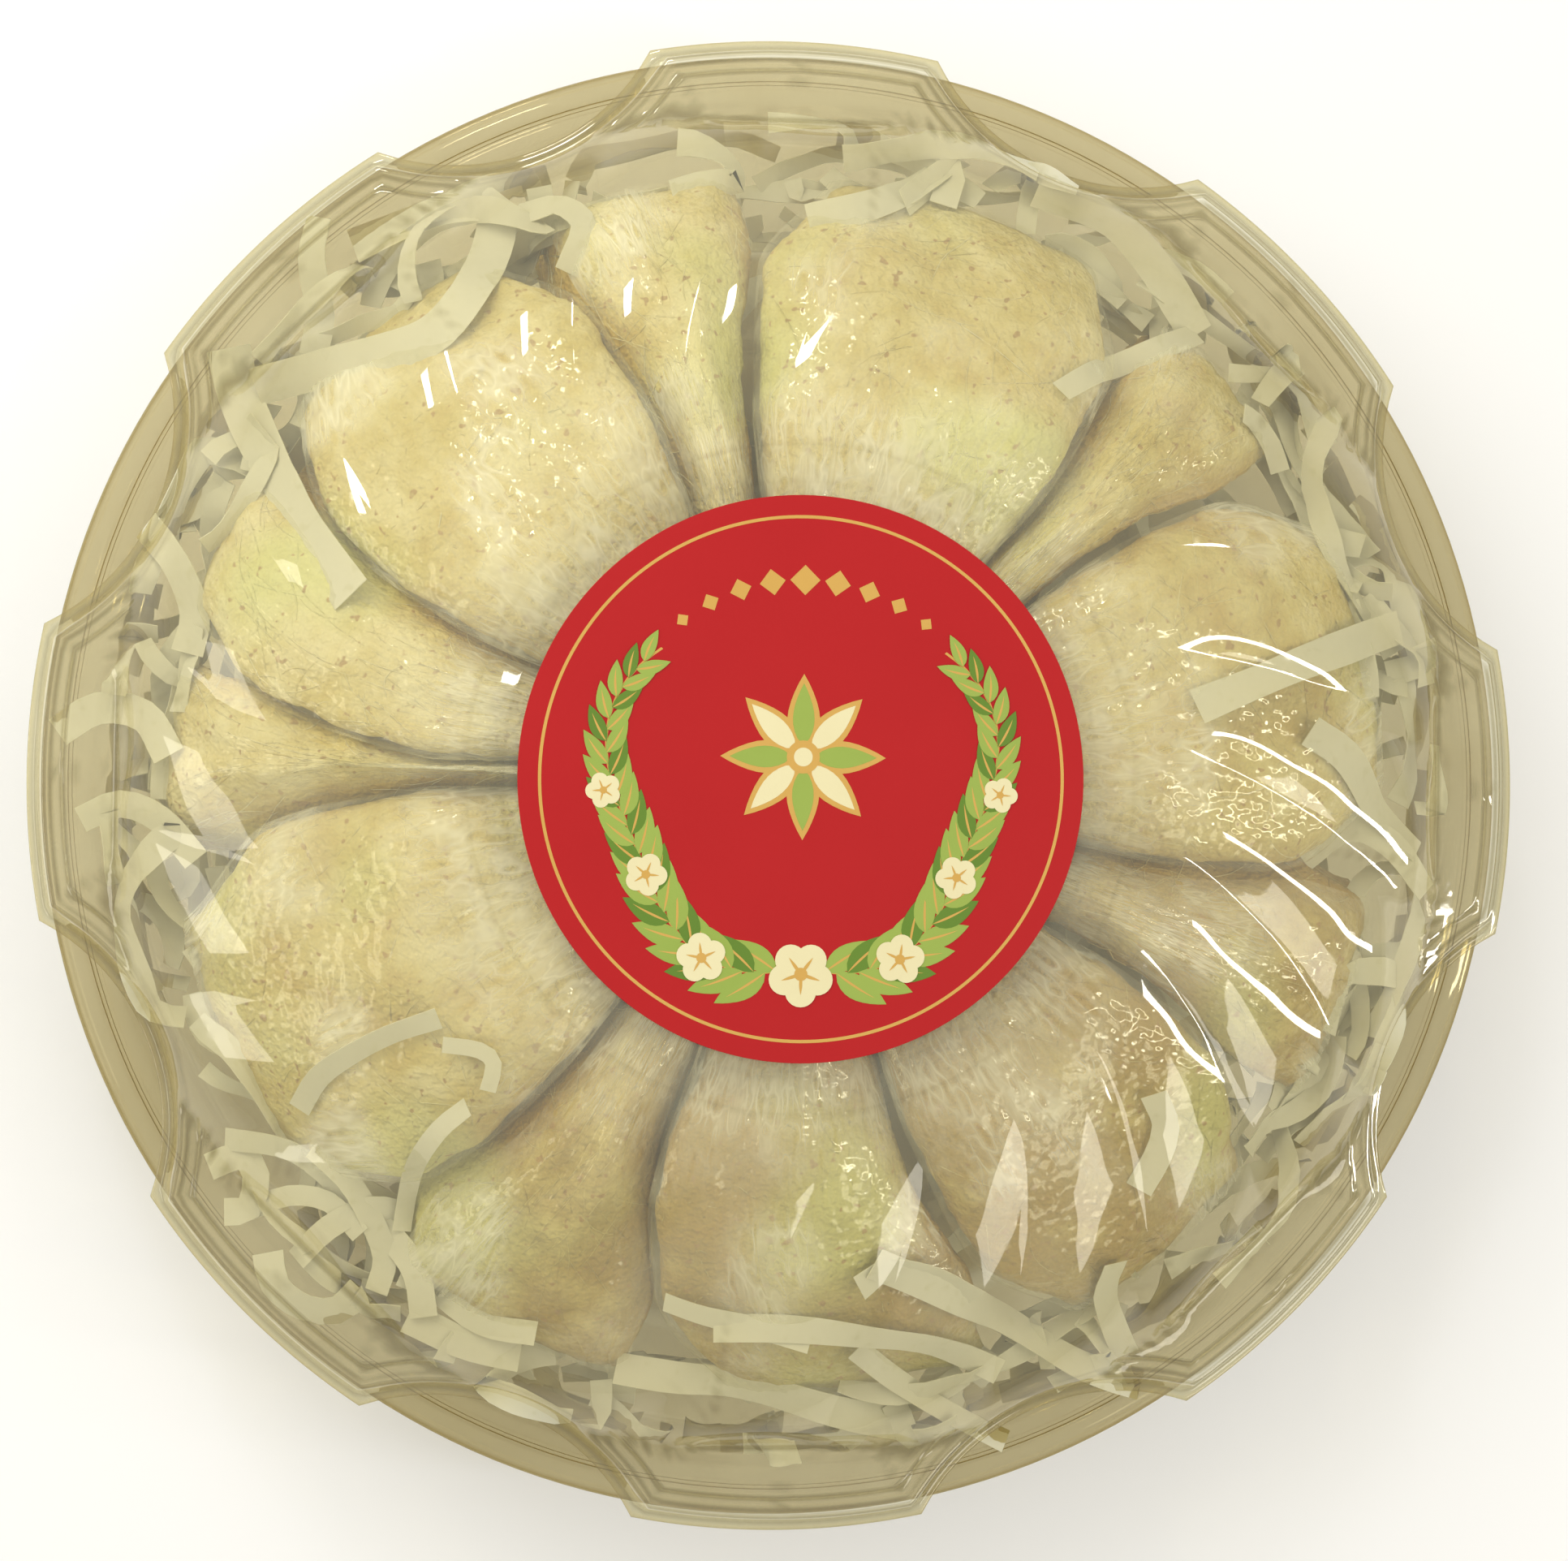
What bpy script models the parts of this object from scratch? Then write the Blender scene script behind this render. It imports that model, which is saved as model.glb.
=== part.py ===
"""A clear round gift box packed with edible birds' nests.

The box is a thermoformed tray and a domed lid. The lid's rim has eight lobes with a
scallop between each two, its dome is fluted in a swirl, and a round label lies in a
shallow recess on top. Inside, twelve half-cup nests stand in a rosette on shredded paper.
Lengths below are millimetres and angles are degrees until they reach Blender.
"""
import math

import bmesh
import bpy
from mathutils import Vector, noise

MM = 0.001
GAP = 0.3                       # clearance between pieces that touch

# Tray
TRAY_RADIUS = 109.2
TRAY_WALL = 0.7
FLANGE_Z = 35.9                 # highest point of the flange, which carries the lid
FOOT_INNER = 72.0               # the flat ring that the box stands on
FOOT_OUTER = 86.0
FLOOR_LIFT = 2.4                # the middle of the floor stands clear of the table
TRAY_TOP_OUTER = 96.6           # outside of the wall just under the flange
TRAY_SIDES = 48
WALL_FOOT_RISE = 2.6            # the wall turns up from the foot ring over this much
SHOULDER_DROP = 2.6             # the wall bends out to the flange this far below it
STEP_DROP = 1.0                 # the flange's inner part, a channel, lies this much lower
STEP_INNER = 101.0
STEP_OUTER = 101.8
EDGE_TURN = 1.2                 # the flange's edge turns down over this width
EDGE_DROP = 2.6

# Lid
LID_RADIUS = 110.5              # rim at the lobes
LID_WALL = 0.6
LOBES = 8
LOBE_PERIOD = 360.0 / LOBES
SCALLOP_HALF = LOBE_PERIOD / 4  # a scallop takes half of each period
SCALLOP_DEPTH = 10.0
LIP_WIDTH = 1.2
LIP_Z = FLANGE_Z + GAP + LID_WALL
LIP_WALL_SLOPE = 3.2            # rise of the rim's wall for each millimetre inward
LEDGE_Z = 43.2                  # the flat ledge on each lobe
LEDGE_STEP = 0.8                # the ledge's inner part is this much higher
LEDGE_STEP_IN = 6.5             # distance of that step from the rim
DOME_FOOT_Z = 38.0              # where the dome's curve would end
DOME_FOOT_RADIUS = 101.0
RIDGE_RADIUS = 46.3             # the ring that frames the label
RIDGE_Z = 65.5
DOME_INNER_POWER = 2.2
DOME_OUTER_POWER = 0.625
FACET_CHORD = 96.8              # each lobe's facet cuts the dome along this chord
FACET_SLOPE = 1.75
FLUTES = 24
FLUTE_DEPTH = 1.5
SWIRL = 22.5                    # turn of a flute, clockwise, from the ridge to the rim
RECESS_RADIUS = 41.2
RECESS_DEPTH = 1.5
SHOULDER_IN = 1.6               # the recess wall eases off this far inside the ridge
SHOULDER_Z = RIDGE_Z - 0.3
DOME_FOOT_LIMIT = 98.6          # the dome's mesh goes no further out than this
FOOT_SEARCH_STEP = 0.1
LID_COLUMNS = 96
DOME_SHARES = (0.22, 0.45, 0.66, 0.84, 1.0)
FLUTE_FADE = 0.4                # the flutes reach their depth at this share of the dome
RIM_RINGS = ((LEDGE_STEP_IN - 0.3, 0.75), (3.4, 0.5), (LIP_WIDTH, 0.27), (0.0, 0.0))

# Label
LABEL_RADIUS = 39.3
LABEL_THICKNESS = 0.25
LABEL_SIDES = 48

# Nests: the clefts between them, anticlockwise from the nest at the top of the photograph
CLEFTS = (91.0, 118.0, 147.0, 165.0, 189.0, 226.0, 261.5, 296.0, 325.0, 354.0, 391.0, 414.0)
NEST_LEANS = (5.0, -4.0, 7.0, 9.0, -5.0, 4.0, -8.0, -6.0, 3.0, -4.0, 5.0, -3.0)
NEST_INNER = 13.5
NEST_OUTER = 90.0
NEST_FOOT_Z = 9.5
NEST_TOP_Z = 59.0
NEST_WALL = 7.0
NEST_GAP = 0.7                  # to the plane of the cleft on either side
NEST_STATIONS = 9
NEST_ARC_POINTS = 6
NEST_ARC_TURN = 152.0           # the shell goes over the crown and stops there
NEST_LUMP = 1.8                 # swells and dips of the crown
LUMP_LENGTH = 17.0
NEST_LIFT_POWER = 0.62          # below 1 makes a nest's section squarer than an ellipse
NEST_ACROSS_POWER = 0.65
CEILING_RADIUS = 95.0           # the dome has come down this much at that radius
CEILING_DROP = 17.5
NEST_OUTER_RISE = 8.5           # the outer end leans out by this much
NEST_END_DROP = 4.0             # the crown is lower at its two ends
NEST_END_TAPER = 0.28           # the outer end is this much narrower
UPRIGHT_Z = 30.0                # where a cleft has the direction given above
OPEN_CLOCKWISE = (1, 1, 0, 1, 1, 0, 0, 0, 1, 0, 1, 1)

# Shredded paper
BED_RADIUS = 80.0
BED_BOTTOM_Z = 3.6
BED_TOP_Z = 8.0
BED_LUMP = 1.6
RING_INNER = 91.4
RING_OUTER = 94.3
RING_LOBE_REACH = 6.2           # it fills the lobes this much further out
RING_BOTTOM_Z = 30.0
RING_EDGE_Z = 38.6
RING_TOP_Z = 41.4
PAPER_SIDES = 32


def polar(radius, angle, height):
    """A point in metres from millimetres and degrees."""
    turn = math.radians(angle)
    return Vector((radius * math.cos(turn), radius * math.sin(turn), height)) * MM


def smooth(low, high, value):
    """0 below low, 1 above high, and an S curve between them."""
    share = min(1.0, max(0.0, (value - low) / (high - low)))
    return share * share * (3.0 - 2.0 * share)


def material(name, colour, roughness, alpha=1.0, transmission=0.0):
    made = bpy.data.materials.new(name)
    made.use_nodes = True
    shader = made.node_tree.nodes["Principled BSDF"]
    shader.inputs["Base Color"].default_value = (*colour, 1.0)
    shader.inputs["Roughness"].default_value = roughness
    shader.inputs["Metallic"].default_value = 0.0
    shader.inputs["Alpha"].default_value = alpha
    shader.inputs["Transmission Weight"].default_value = transmission
    shader.inputs["IOR"].default_value = 1.57 if transmission else 1.45
    return made


def node(name, mesh_builder, finish, closed=True):
    """Turn a filled bmesh into one named object."""
    if closed:
        bmesh.ops.recalc_face_normals(mesh_builder, faces=mesh_builder.faces)
    mesh = bpy.data.meshes.new(name)
    mesh_builder.to_mesh(mesh)
    mesh_builder.free()
    mesh.materials.append(finish)
    mesh.shade_smooth()
    mesh.set_sharp_from_angle(angle=math.radians(40.0))
    made = bpy.data.objects.new(name, mesh)
    bpy.context.collection.objects.link(made)
    return made


def thicken(made, thickness):
    """Give an open sheet its wall, grown to the underside of its faces."""
    solid = made.modifiers.new("wall", "SOLIDIFY")
    solid.thickness = thickness * MM
    solid.offset = -1.0
    solid.use_even_offset = True
    solid.use_rim = True


def join_rings(build, rings):
    """Faces between closed rings of equal count, the first ring inside the next."""
    for inner, outer in zip(rings, rings[1:]):
        count = len(inner)
        for k in range(count):
            after = (k + 1) % count
            build.faces.new((inner[k], outer[k], outer[after], inner[after]))


# The lid's form

SCALLOP_CHORD = LID_RADIUS * math.sin(math.radians(SCALLOP_HALF))
SCALLOP_SAG = SCALLOP_DEPTH - LID_RADIUS * (1.0 - math.cos(math.radians(SCALLOP_HALF)))
SCALLOP_ARC = (SCALLOP_CHORD ** 2 + SCALLOP_SAG ** 2) / (2.0 * SCALLOP_SAG)
SCALLOP_CENTRE = LID_RADIUS - SCALLOP_DEPTH + SCALLOP_ARC


def from_lobe(angle):
    """Angle from the middle of the nearest lobe, whose middles are at 0, 45, 90 and so on."""
    return (angle + LOBE_PERIOD / 2) % LOBE_PERIOD - LOBE_PERIOD / 2


def from_scallop(angle):
    return angle % LOBE_PERIOD - LOBE_PERIOD / 2


def rim_radius(angle):
    """The lid's outline: a circle with eight round bites."""
    off = math.radians(from_scallop(angle))
    if abs(off) >= math.radians(SCALLOP_HALF) - 1e-9:
        return LID_RADIUS
    across = SCALLOP_CENTRE * math.sin(off)
    return SCALLOP_CENTRE * math.cos(off) - math.sqrt(SCALLOP_ARC ** 2 - across ** 2)


def rim_distance(radius, angle):
    """Distance inward from the outline."""
    off = math.radians(from_scallop(angle))
    to_bite = math.hypot(radius * math.cos(off) - SCALLOP_CENTRE, radius * math.sin(off)) - SCALLOP_ARC
    return max(0.0, min(LID_RADIUS - radius, to_bite))


def dome_height(radius, angle):
    """The fluted dome, before the rim and the facets cut it."""
    reach = DOME_FOOT_RADIUS - RIDGE_RADIUS
    share = min(1.0, max(0.0, (radius - RIDGE_RADIUS) / reach))
    rise = RIDGE_Z - DOME_FOOT_Z
    height = DOME_FOOT_Z + rise * (1.0 - share ** DOME_INNER_POWER) ** DOME_OUTER_POWER
    turned = (angle + SWIRL * share) * FLUTES / 360.0
    from_crest = 2.0 * (turned - round(turned))
    return height - FLUTE_DEPTH * smooth(0.0, FLUTE_FADE, share) * from_crest ** 2


def wall_height(inward):
    return LIP_Z + LIP_WALL_SLOPE * max(0.0, inward - LIP_WIDTH)


def lid_height(radius, angle):
    """Top surface of the lid outside the ring round the label."""
    inward = rim_distance(radius, angle)
    ledge = LEDGE_Z + LEDGE_STEP * smooth(LEDGE_STEP_IN - 0.5, LEDGE_STEP_IN, inward)
    along = radius * math.cos(math.radians(from_lobe(angle)))
    facet = LEDGE_Z + LEDGE_STEP + FACET_SLOPE * (FACET_CHORD - along)
    dome = min(dome_height(radius, angle), max(facet, ledge))
    return min(wall_height(inward), max(ledge, dome))


def dome_foot(angle):
    """Radius where the dome meets the ledge on a lobe, or the wall in a scallop."""
    chord = FACET_CHORD / math.cos(math.radians(from_lobe(angle)))
    radius = min(rim_radius(angle) - LIP_WIDTH, chord)
    while lid_height(radius, angle) >= wall_height(rim_distance(radius, angle)):
        radius -= FOOT_SEARCH_STEP
    return min(radius, DOME_FOOT_LIMIT)


def lid():
    build = bmesh.new()
    step = 360.0 / LID_COLUMNS
    middle = build.verts.new(polar(0.0, 0.0, RIDGE_Z - RECESS_DEPTH))
    plain = ((RECESS_RADIUS, RIDGE_Z - RECESS_DEPTH), (RIDGE_RADIUS - SHOULDER_IN, SHOULDER_Z),
             (RIDGE_RADIUS, RIDGE_Z))
    rings = [[build.verts.new(polar(radius, step * k, height)) for k in range(LID_COLUMNS)]
             for radius, height in plain]
    for share in DOME_SHARES:
        ring = []
        for k in range(LID_COLUMNS):
            angle = step * k - SWIRL * share
            radius = RIDGE_RADIUS + share * (dome_foot(angle) - RIDGE_RADIUS)
            ring.append(build.verts.new(polar(radius, angle, lid_height(radius, angle))))
        rings.append(ring)
    for inward, share in RIM_RINGS:
        ring = []
        for k in range(LID_COLUMNS):
            angle = step * k - SWIRL
            rim = rim_radius(angle)
            radius = rim - min(inward, share * (rim - dome_foot(angle)))
            height = LIP_Z if inward <= LIP_WIDTH else lid_height(radius, angle)
            ring.append(build.verts.new(polar(radius, angle, height)))
        rings.append(ring)
    first = rings[0]
    for k in range(LID_COLUMNS):
        build.faces.new((middle, first[k], first[(k + 1) % LID_COLUMNS]))
    join_rings(build, rings)
    finish = material("clear lid", (0.93, 0.91, 0.80), 0.06, alpha=0.35, transmission=0.9)
    thicken(node("lid", build, finish, closed=False), LID_WALL)


def tray():
    """Floor on a flat foot ring, a leaning wall and a stepped flange, as one thin sheet.

    The profile is the underside, from the middle outward, and the wall grows up from it.
    """
    build = bmesh.new()
    top = FLANGE_Z - TRAY_WALL
    edge = TRAY_RADIUS - TRAY_WALL
    profile = (
        (FOOT_INNER - 2.0, FLOOR_LIFT), (FOOT_INNER, 0.0), (FOOT_OUTER, 0.0),
        (FOOT_OUTER + WALL_FOOT_RISE, WALL_FOOT_RISE), (TRAY_TOP_OUTER, top - SHOULDER_DROP),
        (TRAY_TOP_OUTER + 1.4, top - STEP_DROP), (STEP_INNER, top - STEP_DROP),
        (STEP_OUTER, top), (edge - EDGE_TURN, top), (edge, top - EDGE_DROP))
    step = 360.0 / TRAY_SIDES
    middle = build.verts.new(polar(0.0, 0.0, FLOOR_LIFT))
    rings = [[build.verts.new(polar(radius, step * k, height)) for k in range(TRAY_SIDES)]
             for radius, height in profile]
    for k in range(TRAY_SIDES):
        build.faces.new((middle, rings[0][k], rings[0][(k + 1) % TRAY_SIDES]))
    join_rings(build, rings)
    for face in build.faces:
        face.normal_flip()
    finish = material("clear tray", (0.92, 0.90, 0.78), 0.08, alpha=0.35, transmission=0.9)
    thicken(node("tray", build, finish, closed=False), TRAY_WALL)


def label():
    build = bmesh.new()
    bmesh.ops.create_cone(
        build, cap_ends=True, segments=LABEL_SIDES, radius1=LABEL_RADIUS * MM,
        radius2=LABEL_RADIUS * MM, depth=LABEL_THICKNESS * MM)
    made = node("label", build, material("label paper", (0.60, 0.035, 0.04), 0.4))
    made.location.z = (RIDGE_Z - RECESS_DEPTH + GAP + LABEL_THICKNESS / 2) * MM


# The nests

def cleft_angle(index, height):
    """Direction of a cleft at a height: each leans a little to one side."""
    turns, which = divmod(index, len(CLEFTS))
    lean = NEST_LEANS[which] * (height - UPRIGHT_Z) / UPRIGHT_Z
    return CLEFTS[which] + 360.0 * turns + lean


def nest_ceiling(radius):
    """How high a nest may reach under the dome."""
    share = min(1.0, max(0.0, (radius - RIDGE_RADIUS) / (CEILING_RADIUS - RIDGE_RADIUS)))
    return NEST_TOP_Z - CEILING_DROP * share ** 2


def nest_point(index, along, across, height_share, inset):
    """A point on a nest's shell.

    along runs from the inner tip (0) to the outer end (1); across runs from the clockwise
    cleft (-1) to the anticlockwise one (1); inset is how far the point lies inside the back.
    """
    foot_outer = NEST_OUTER - NEST_OUTER_RISE
    outer = foot_outer + (NEST_OUTER - foot_outer) * smooth(0.0, 0.55, height_share)
    inner = NEST_INNER + 1.5 * inset
    radius = inner + (outer - inset - inner) * along
    middle = (NEST_INNER + NEST_OUTER) / 2
    end = 1.0 - NEST_END_TAPER * smooth(0.78, 1.0, along)
    lump = NEST_LUMP * (noise.noise(Vector((radius / LUMP_LENGTH, across * 1.3, index * 5.7))) - 0.5)
    crown = nest_ceiling(radius) - NEST_END_DROP * abs(radius - middle) / middle - inset + lump
    height = NEST_FOOT_Z + (crown - NEST_FOOT_Z) * height_share
    low, high = cleft_angle(index, height), cleft_angle(index + 1, height)
    half = math.radians(high - low) / 2 * radius - NEST_GAP
    sideways = across * max(half * end - inset * min(1.0, half / 14.0), 0.35 * half * end)
    angle = (low + high) / 2 + math.degrees(sideways / radius)
    return polar(radius, angle, height)


def nest(index, finish):
    """Half a cup, standing on its long edge: a thick shell that is open on one side."""
    build = bmesh.new()
    side = -1.0 if OPEN_CLOCKWISE[index] else 1.0
    shells = []
    for inset in (0.0, 1.0):
        rows = []
        for station in range(NEST_STATIONS):
            along = station / (NEST_STATIONS - 1)
            row = []
            for point in range(NEST_ARC_POINTS):
                turn = math.radians(NEST_ARC_TURN * point / (NEST_ARC_POINTS - 1))
                lift = math.sin(turn) ** NEST_LIFT_POWER
                across = math.copysign(abs(math.cos(turn)) ** NEST_ACROSS_POWER, -side * math.cos(turn))
                thickness = NEST_WALL * inset * min(1.0, 0.35 + along * 1.5)
                row.append(build.verts.new(nest_point(
                    index, along, across, lift, thickness)))
            rows.append(row)
        shells.append(rows)
    outer, inner = shells
    last_row, last_point = NEST_STATIONS - 1, NEST_ARC_POINTS - 1
    for j in range(last_row):
        for k in range(last_point):
            for rows in shells:
                build.faces.new((rows[j][k], rows[j + 1][k], rows[j + 1][k + 1], rows[j][k + 1]))
        for k in (0, last_point):
            build.faces.new((outer[j][k], outer[j + 1][k], inner[j + 1][k], inner[j][k]))
    for k in range(last_point):
        for j in (0, last_row):
            build.faces.new((outer[j][k], outer[j][k + 1], inner[j][k + 1], inner[j][k]))
    node(f"nest_{index + 1:02d}", build, finish)


# The shredded paper

def paper_bed(finish):
    """The lumpy mat of paper under the nests."""
    build = bmesh.new()
    step = 360.0 / PAPER_SIDES
    rows = [[build.verts.new(polar(BED_RADIUS - 2.0, step * k, BED_BOTTOM_Z)) for k in range(PAPER_SIDES)]]
    for radius, height in ((BED_RADIUS, BED_TOP_Z - 1.5), (62.0, BED_TOP_Z), (30.0, BED_TOP_Z)):
        row = []
        for k in range(PAPER_SIDES):
            lump = BED_LUMP * (noise.noise(Vector((radius * 0.11, step * k * 0.13, height))) - 0.25)
            row.append(build.verts.new(polar(radius, step * k, height + lump)))
        rows.append(row)
    join_rings(build, rows)
    build.faces.new(rows[0])
    build.faces.new(rows[-1])
    node("paper_bed", build, finish)


def paper_ring(finish):
    """The paper packed round the nests, between them, the tray and the lid's rim."""
    build = bmesh.new()
    columns = []
    for k in range(PAPER_SIDES):
        angle = 360.0 * k / PAPER_SIDES
        outer = RING_OUTER + RING_LOBE_REACH * smooth(10.0, 3.0, abs(from_lobe(angle)))
        lump = noise.noise(polar(3.0 / MM, angle, 1.0 / MM))
        section = (
            (RING_INNER, RING_BOTTOM_Z), (RING_OUTER, RING_BOTTOM_Z + 2.0), (outer, RING_EDGE_Z),
            (outer - 1.5, RING_TOP_Z + lump), (RING_INNER, RING_TOP_Z + lump))
        columns.append([build.verts.new(polar(radius, angle, height)) for radius, height in section])
    join_rings(build, [list(row) for row in zip(*columns)] + [[column[0] for column in columns]])
    node("paper_ring", build, finish)


def main():
    for old in list(bpy.data.objects):
        bpy.data.objects.remove(old, do_unlink=True)
    tray()
    lid()
    label()
    strands = material("nest strands", (0.72, 0.60, 0.38), 0.6)
    for index in range(len(CLEFTS)):
        nest(index, strands)
    shreds = material("shredded paper", (0.78, 0.79, 0.58), 0.75)
    paper_bed(shreds)
    paper_ring(shreds)


main()
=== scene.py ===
"""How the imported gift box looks: clear lid and tray, label, nests in film, shredded paper.

Lengths are millimetres and angles are degrees until they reach Blender. The main sizes
repeat those of the part's source, which this script can't read.
"""
import math
import random

import bmesh
import bpy
import numpy as np
from mathutils import Matrix, Vector, noise
from mathutils.bvhtree import BVHTree


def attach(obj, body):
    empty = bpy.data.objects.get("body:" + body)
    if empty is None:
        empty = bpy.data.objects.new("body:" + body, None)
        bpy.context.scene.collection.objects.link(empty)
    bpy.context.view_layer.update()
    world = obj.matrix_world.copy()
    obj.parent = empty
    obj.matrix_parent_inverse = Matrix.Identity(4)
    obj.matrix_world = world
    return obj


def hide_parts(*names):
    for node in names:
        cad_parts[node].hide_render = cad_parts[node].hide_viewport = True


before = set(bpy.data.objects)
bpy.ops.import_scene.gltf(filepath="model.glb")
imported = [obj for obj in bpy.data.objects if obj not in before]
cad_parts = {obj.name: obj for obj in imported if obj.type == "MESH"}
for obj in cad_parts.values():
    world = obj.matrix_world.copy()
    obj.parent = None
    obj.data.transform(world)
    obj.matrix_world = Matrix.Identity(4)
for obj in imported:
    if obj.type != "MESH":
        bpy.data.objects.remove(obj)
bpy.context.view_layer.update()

MM = 0.001
ROOT = "root"

# Tray
TRAY_RADIUS = 109.2
TRAY_WALL = 0.7
FLANGE_Z = 35.9
FOOT_INNER = 72.0
FOOT_OUTER = 86.0
FLOOR_LIFT = 2.4
TRAY_TOP_OUTER = 96.6
TRAY_SIDES = 192
TRAY_RIM = (108.4, 109.0)       # radii over which the cut edge's deeper tint sets in

# Lid
LID_RADIUS = 110.5
LID_WALL = 0.6
LOBE_PERIOD = 45.0
SCALLOP_HALF = LOBE_PERIOD / 4
SCALLOP_DEPTH = 10.0
LIP_WIDTH = 1.2
LIP_Z = FLANGE_Z + 0.3 + LID_WALL
LIP_WALL_SLOPE = 3.2
LEDGE_Z = 43.2
LEDGE_STEP = 0.8
LEDGE_STEP_IN = 6.5
DOME_FOOT_Z = 38.0
DOME_FOOT_RADIUS = 101.0
RIDGE_RADIUS = 46.3
RIDGE_Z = 65.5
DOME_SPAN = DOME_FOOT_RADIUS - RIDGE_RADIUS
DOME_INNER_POWER = 2.2
DOME_OUTER_POWER = 0.625
FACET_CHORD = 96.8
FACET_SLOPE = 1.75
FLUTES = 24
FLUTE_DEPTH = 1.5
SWIRL = 22.5
RECESS_RADIUS = 41.2
RECESS_Z = RIDGE_Z - 1.5
RIB_HEIGHT = 0.35               # on the middle of each lobe's ledge
MEAN_RIM = 105.5                # the outline's middle radius, which the flutes' turn is set by
LID_COLUMNS = 384
DOME_RINGS = 38
RIM_RINGS = (18.0, 17.3, 16.6, 15.8, 15.0, 14.2, 13.6, 13.1, 12.6, 12.0, 11.2, 10.2, 9.2, 8.2, 7.4,
             6.8, 6.5, 6.25, 6.0, 5.6, 5.0, 4.4, 3.9, 3.5, 3.2, 2.9, 2.6, 2.3, 2.0, 1.7, 1.45, 1.2,
             0.8, 0.35, 0.0)

# Label
LABEL_RADIUS = 39.3
LABEL_BOTTOM_Z = RECESS_Z + 0.3
LABEL_THICKNESS = 0.25
LABEL_TOP_Z = LABEL_BOTTOM_Z + LABEL_THICKNESS
LABEL_SIDES = 192
GOLD_LINE = (36.05, 36.5)
INK = 0.03                      # how high printed shapes stand
SPRAY_NODES = 40
ROSETTE_Y = 3.0
# Angle, radius and size of each blossom on the wreath
BLOSSOMS = ((270.0, 27.0, 4.6), (241.0, 28.4, 3.5), (299.0, 28.4, 3.5), (212.0, 25.4, 3.0),
            (328.0, 25.4, 3.0), (184.0, 27.6, 2.5), (356.0, 27.6, 2.5))

# Nests
CLEFTS = (91.0, 118.0, 147.0, 165.0, 189.0, 226.0, 261.5, 296.0, 325.0, 354.0, 391.0, 414.0)
NEST_LEANS = (5.0, -4.0, 7.0, 9.0, -5.0, 4.0, -8.0, -6.0, 3.0, -4.0, 5.0, -3.0)
NEST_OVERHANGS = (5.0, -6.0, 7.0, 6.0, -6.0, 6.0, -7.0, -6.0, 6.0, -6.0, 5.0, -5.0)
NEST_INNER = 13.5
NEST_OUTER = 90.0
NEST_END_LEAN = 8.5             # how much further out the outer end is above its foot
NEST_FOOT_Z = 9.5
NEST_TOP_Z = 59.0
NEST_WALL = 7.0
NEST_GAP = 0.2
NEST_ARC_TURN = 152.0
NEST_LUMP = 1.8
OPEN_CLOCKWISE = (1, 1, 0, 1, 1, 0, 0, 0, 1, 0, 1, 1)
NEST_STATIONS = 92
NEST_BACK_POINTS = 84
NEST_HOLLOW_POINTS = 18
# How pale each nest is, from amber (0) to cream (1), read off the photograph: partly the nests'
# own tone and partly painted shade, darker towards the bottom, where less light falls
NEST_PALENESS_AND_SHADE = (1.0, 0.80, 0.90, 0.95, 0.65, 0.28, 0.02, 0.06, 0.28, 0.52, 0.66, 0.80)
STRANDS_PER_NEST = 280
STRAND_STEPS = 7
STRAND_LIFT = 0.02
STRAND_SHORTEST = 1.0
SECTION_LIFT_POWER = 0.22       # low powers make square shoulders
SECTION_SIDE_POWER = 0.44
FILM_CLEARANCE = 0.75           # how far the film lies off the nest's smooth shell
FILM_LENGTH = 76.0
FILM_GIRTH = 52.0
FILM_STATIONS = 72
FILM_POINTS = 60
FILM_ARC = (30.0, 149.0)        # the film is modelled over the crown, where it shows

# Camera, fitted to the lid's outline, its cusps and the ridge round the label
VIEW_LEAN = (-4.9, -1.05)
VIEW_ROLL = 0.7
VIEW_AIM = Vector((-0.24, 0.23, 36.5))
VIEW_DISTANCE = 400.0
LENS = 61.8

# Floor, in metres
FLOOR_HALF = 2.5
FLOOR_DROP = 0.0002

# Light: a bright surround, brighter from the upper left, and a few lamps that streak the flutes
BRIGHT_SIDE = (-0.50, 0.50, 0.71)
WORLD_SPAN = (0.37, 0.71)
# Each lamp's azimuth and elevation in degrees, its distance, width and height in metres,
# its radiance and its colour
LAMPS = {
    "key": (132.0, 42.0, 0.4, 0.3, 0.3, 3.0, (1.0, 0.985, 0.93)),
    "right_strip": (-12.0, 33.0, 0.75, 0.03, 0.75, 20.0, (1.0, 0.98, 0.95)),
    "right_panel": (-42.0, 40.0, 0.9, 0.35, 0.35, 3.0, (1.0, 0.97, 0.9)),
    "top_strip": (108.0, 45.0, 0.8, 0.06, 0.12, 22.0, (1.0, 0.98, 0.95)),
    "left_panel": (190.0, 22.0, 0.9, 0.5, 0.25, 2.5, (1.0, 0.97, 0.9)),
}
NOT_REFLECTED = "key"           # it lights the upper left and leaves no glare on the lid


def polar(radius, angle, height):
    """A point in millimetres."""
    turn = math.radians(angle)
    return Vector((radius * math.cos(turn), radius * math.sin(turn), height))


def clamp(value, low=0.0, high=1.0):
    return min(high, max(low, value))


def smooth(low, high, value):
    """0 below low, 1 above high, and an S curve between them."""
    share = clamp((value - low) / (high - low))
    return share * share * (3.0 - 2.0 * share)


def soft_min(a, b, blend):
    """The smaller of two heights, with the crease between them rounded."""
    near = max(blend - abs(a - b), 0.0) / blend
    return min(a, b) - near * near * blend / 4.0


def soft_max(a, b, blend):
    return -soft_min(-a, -b, blend)


# Node materials

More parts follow.
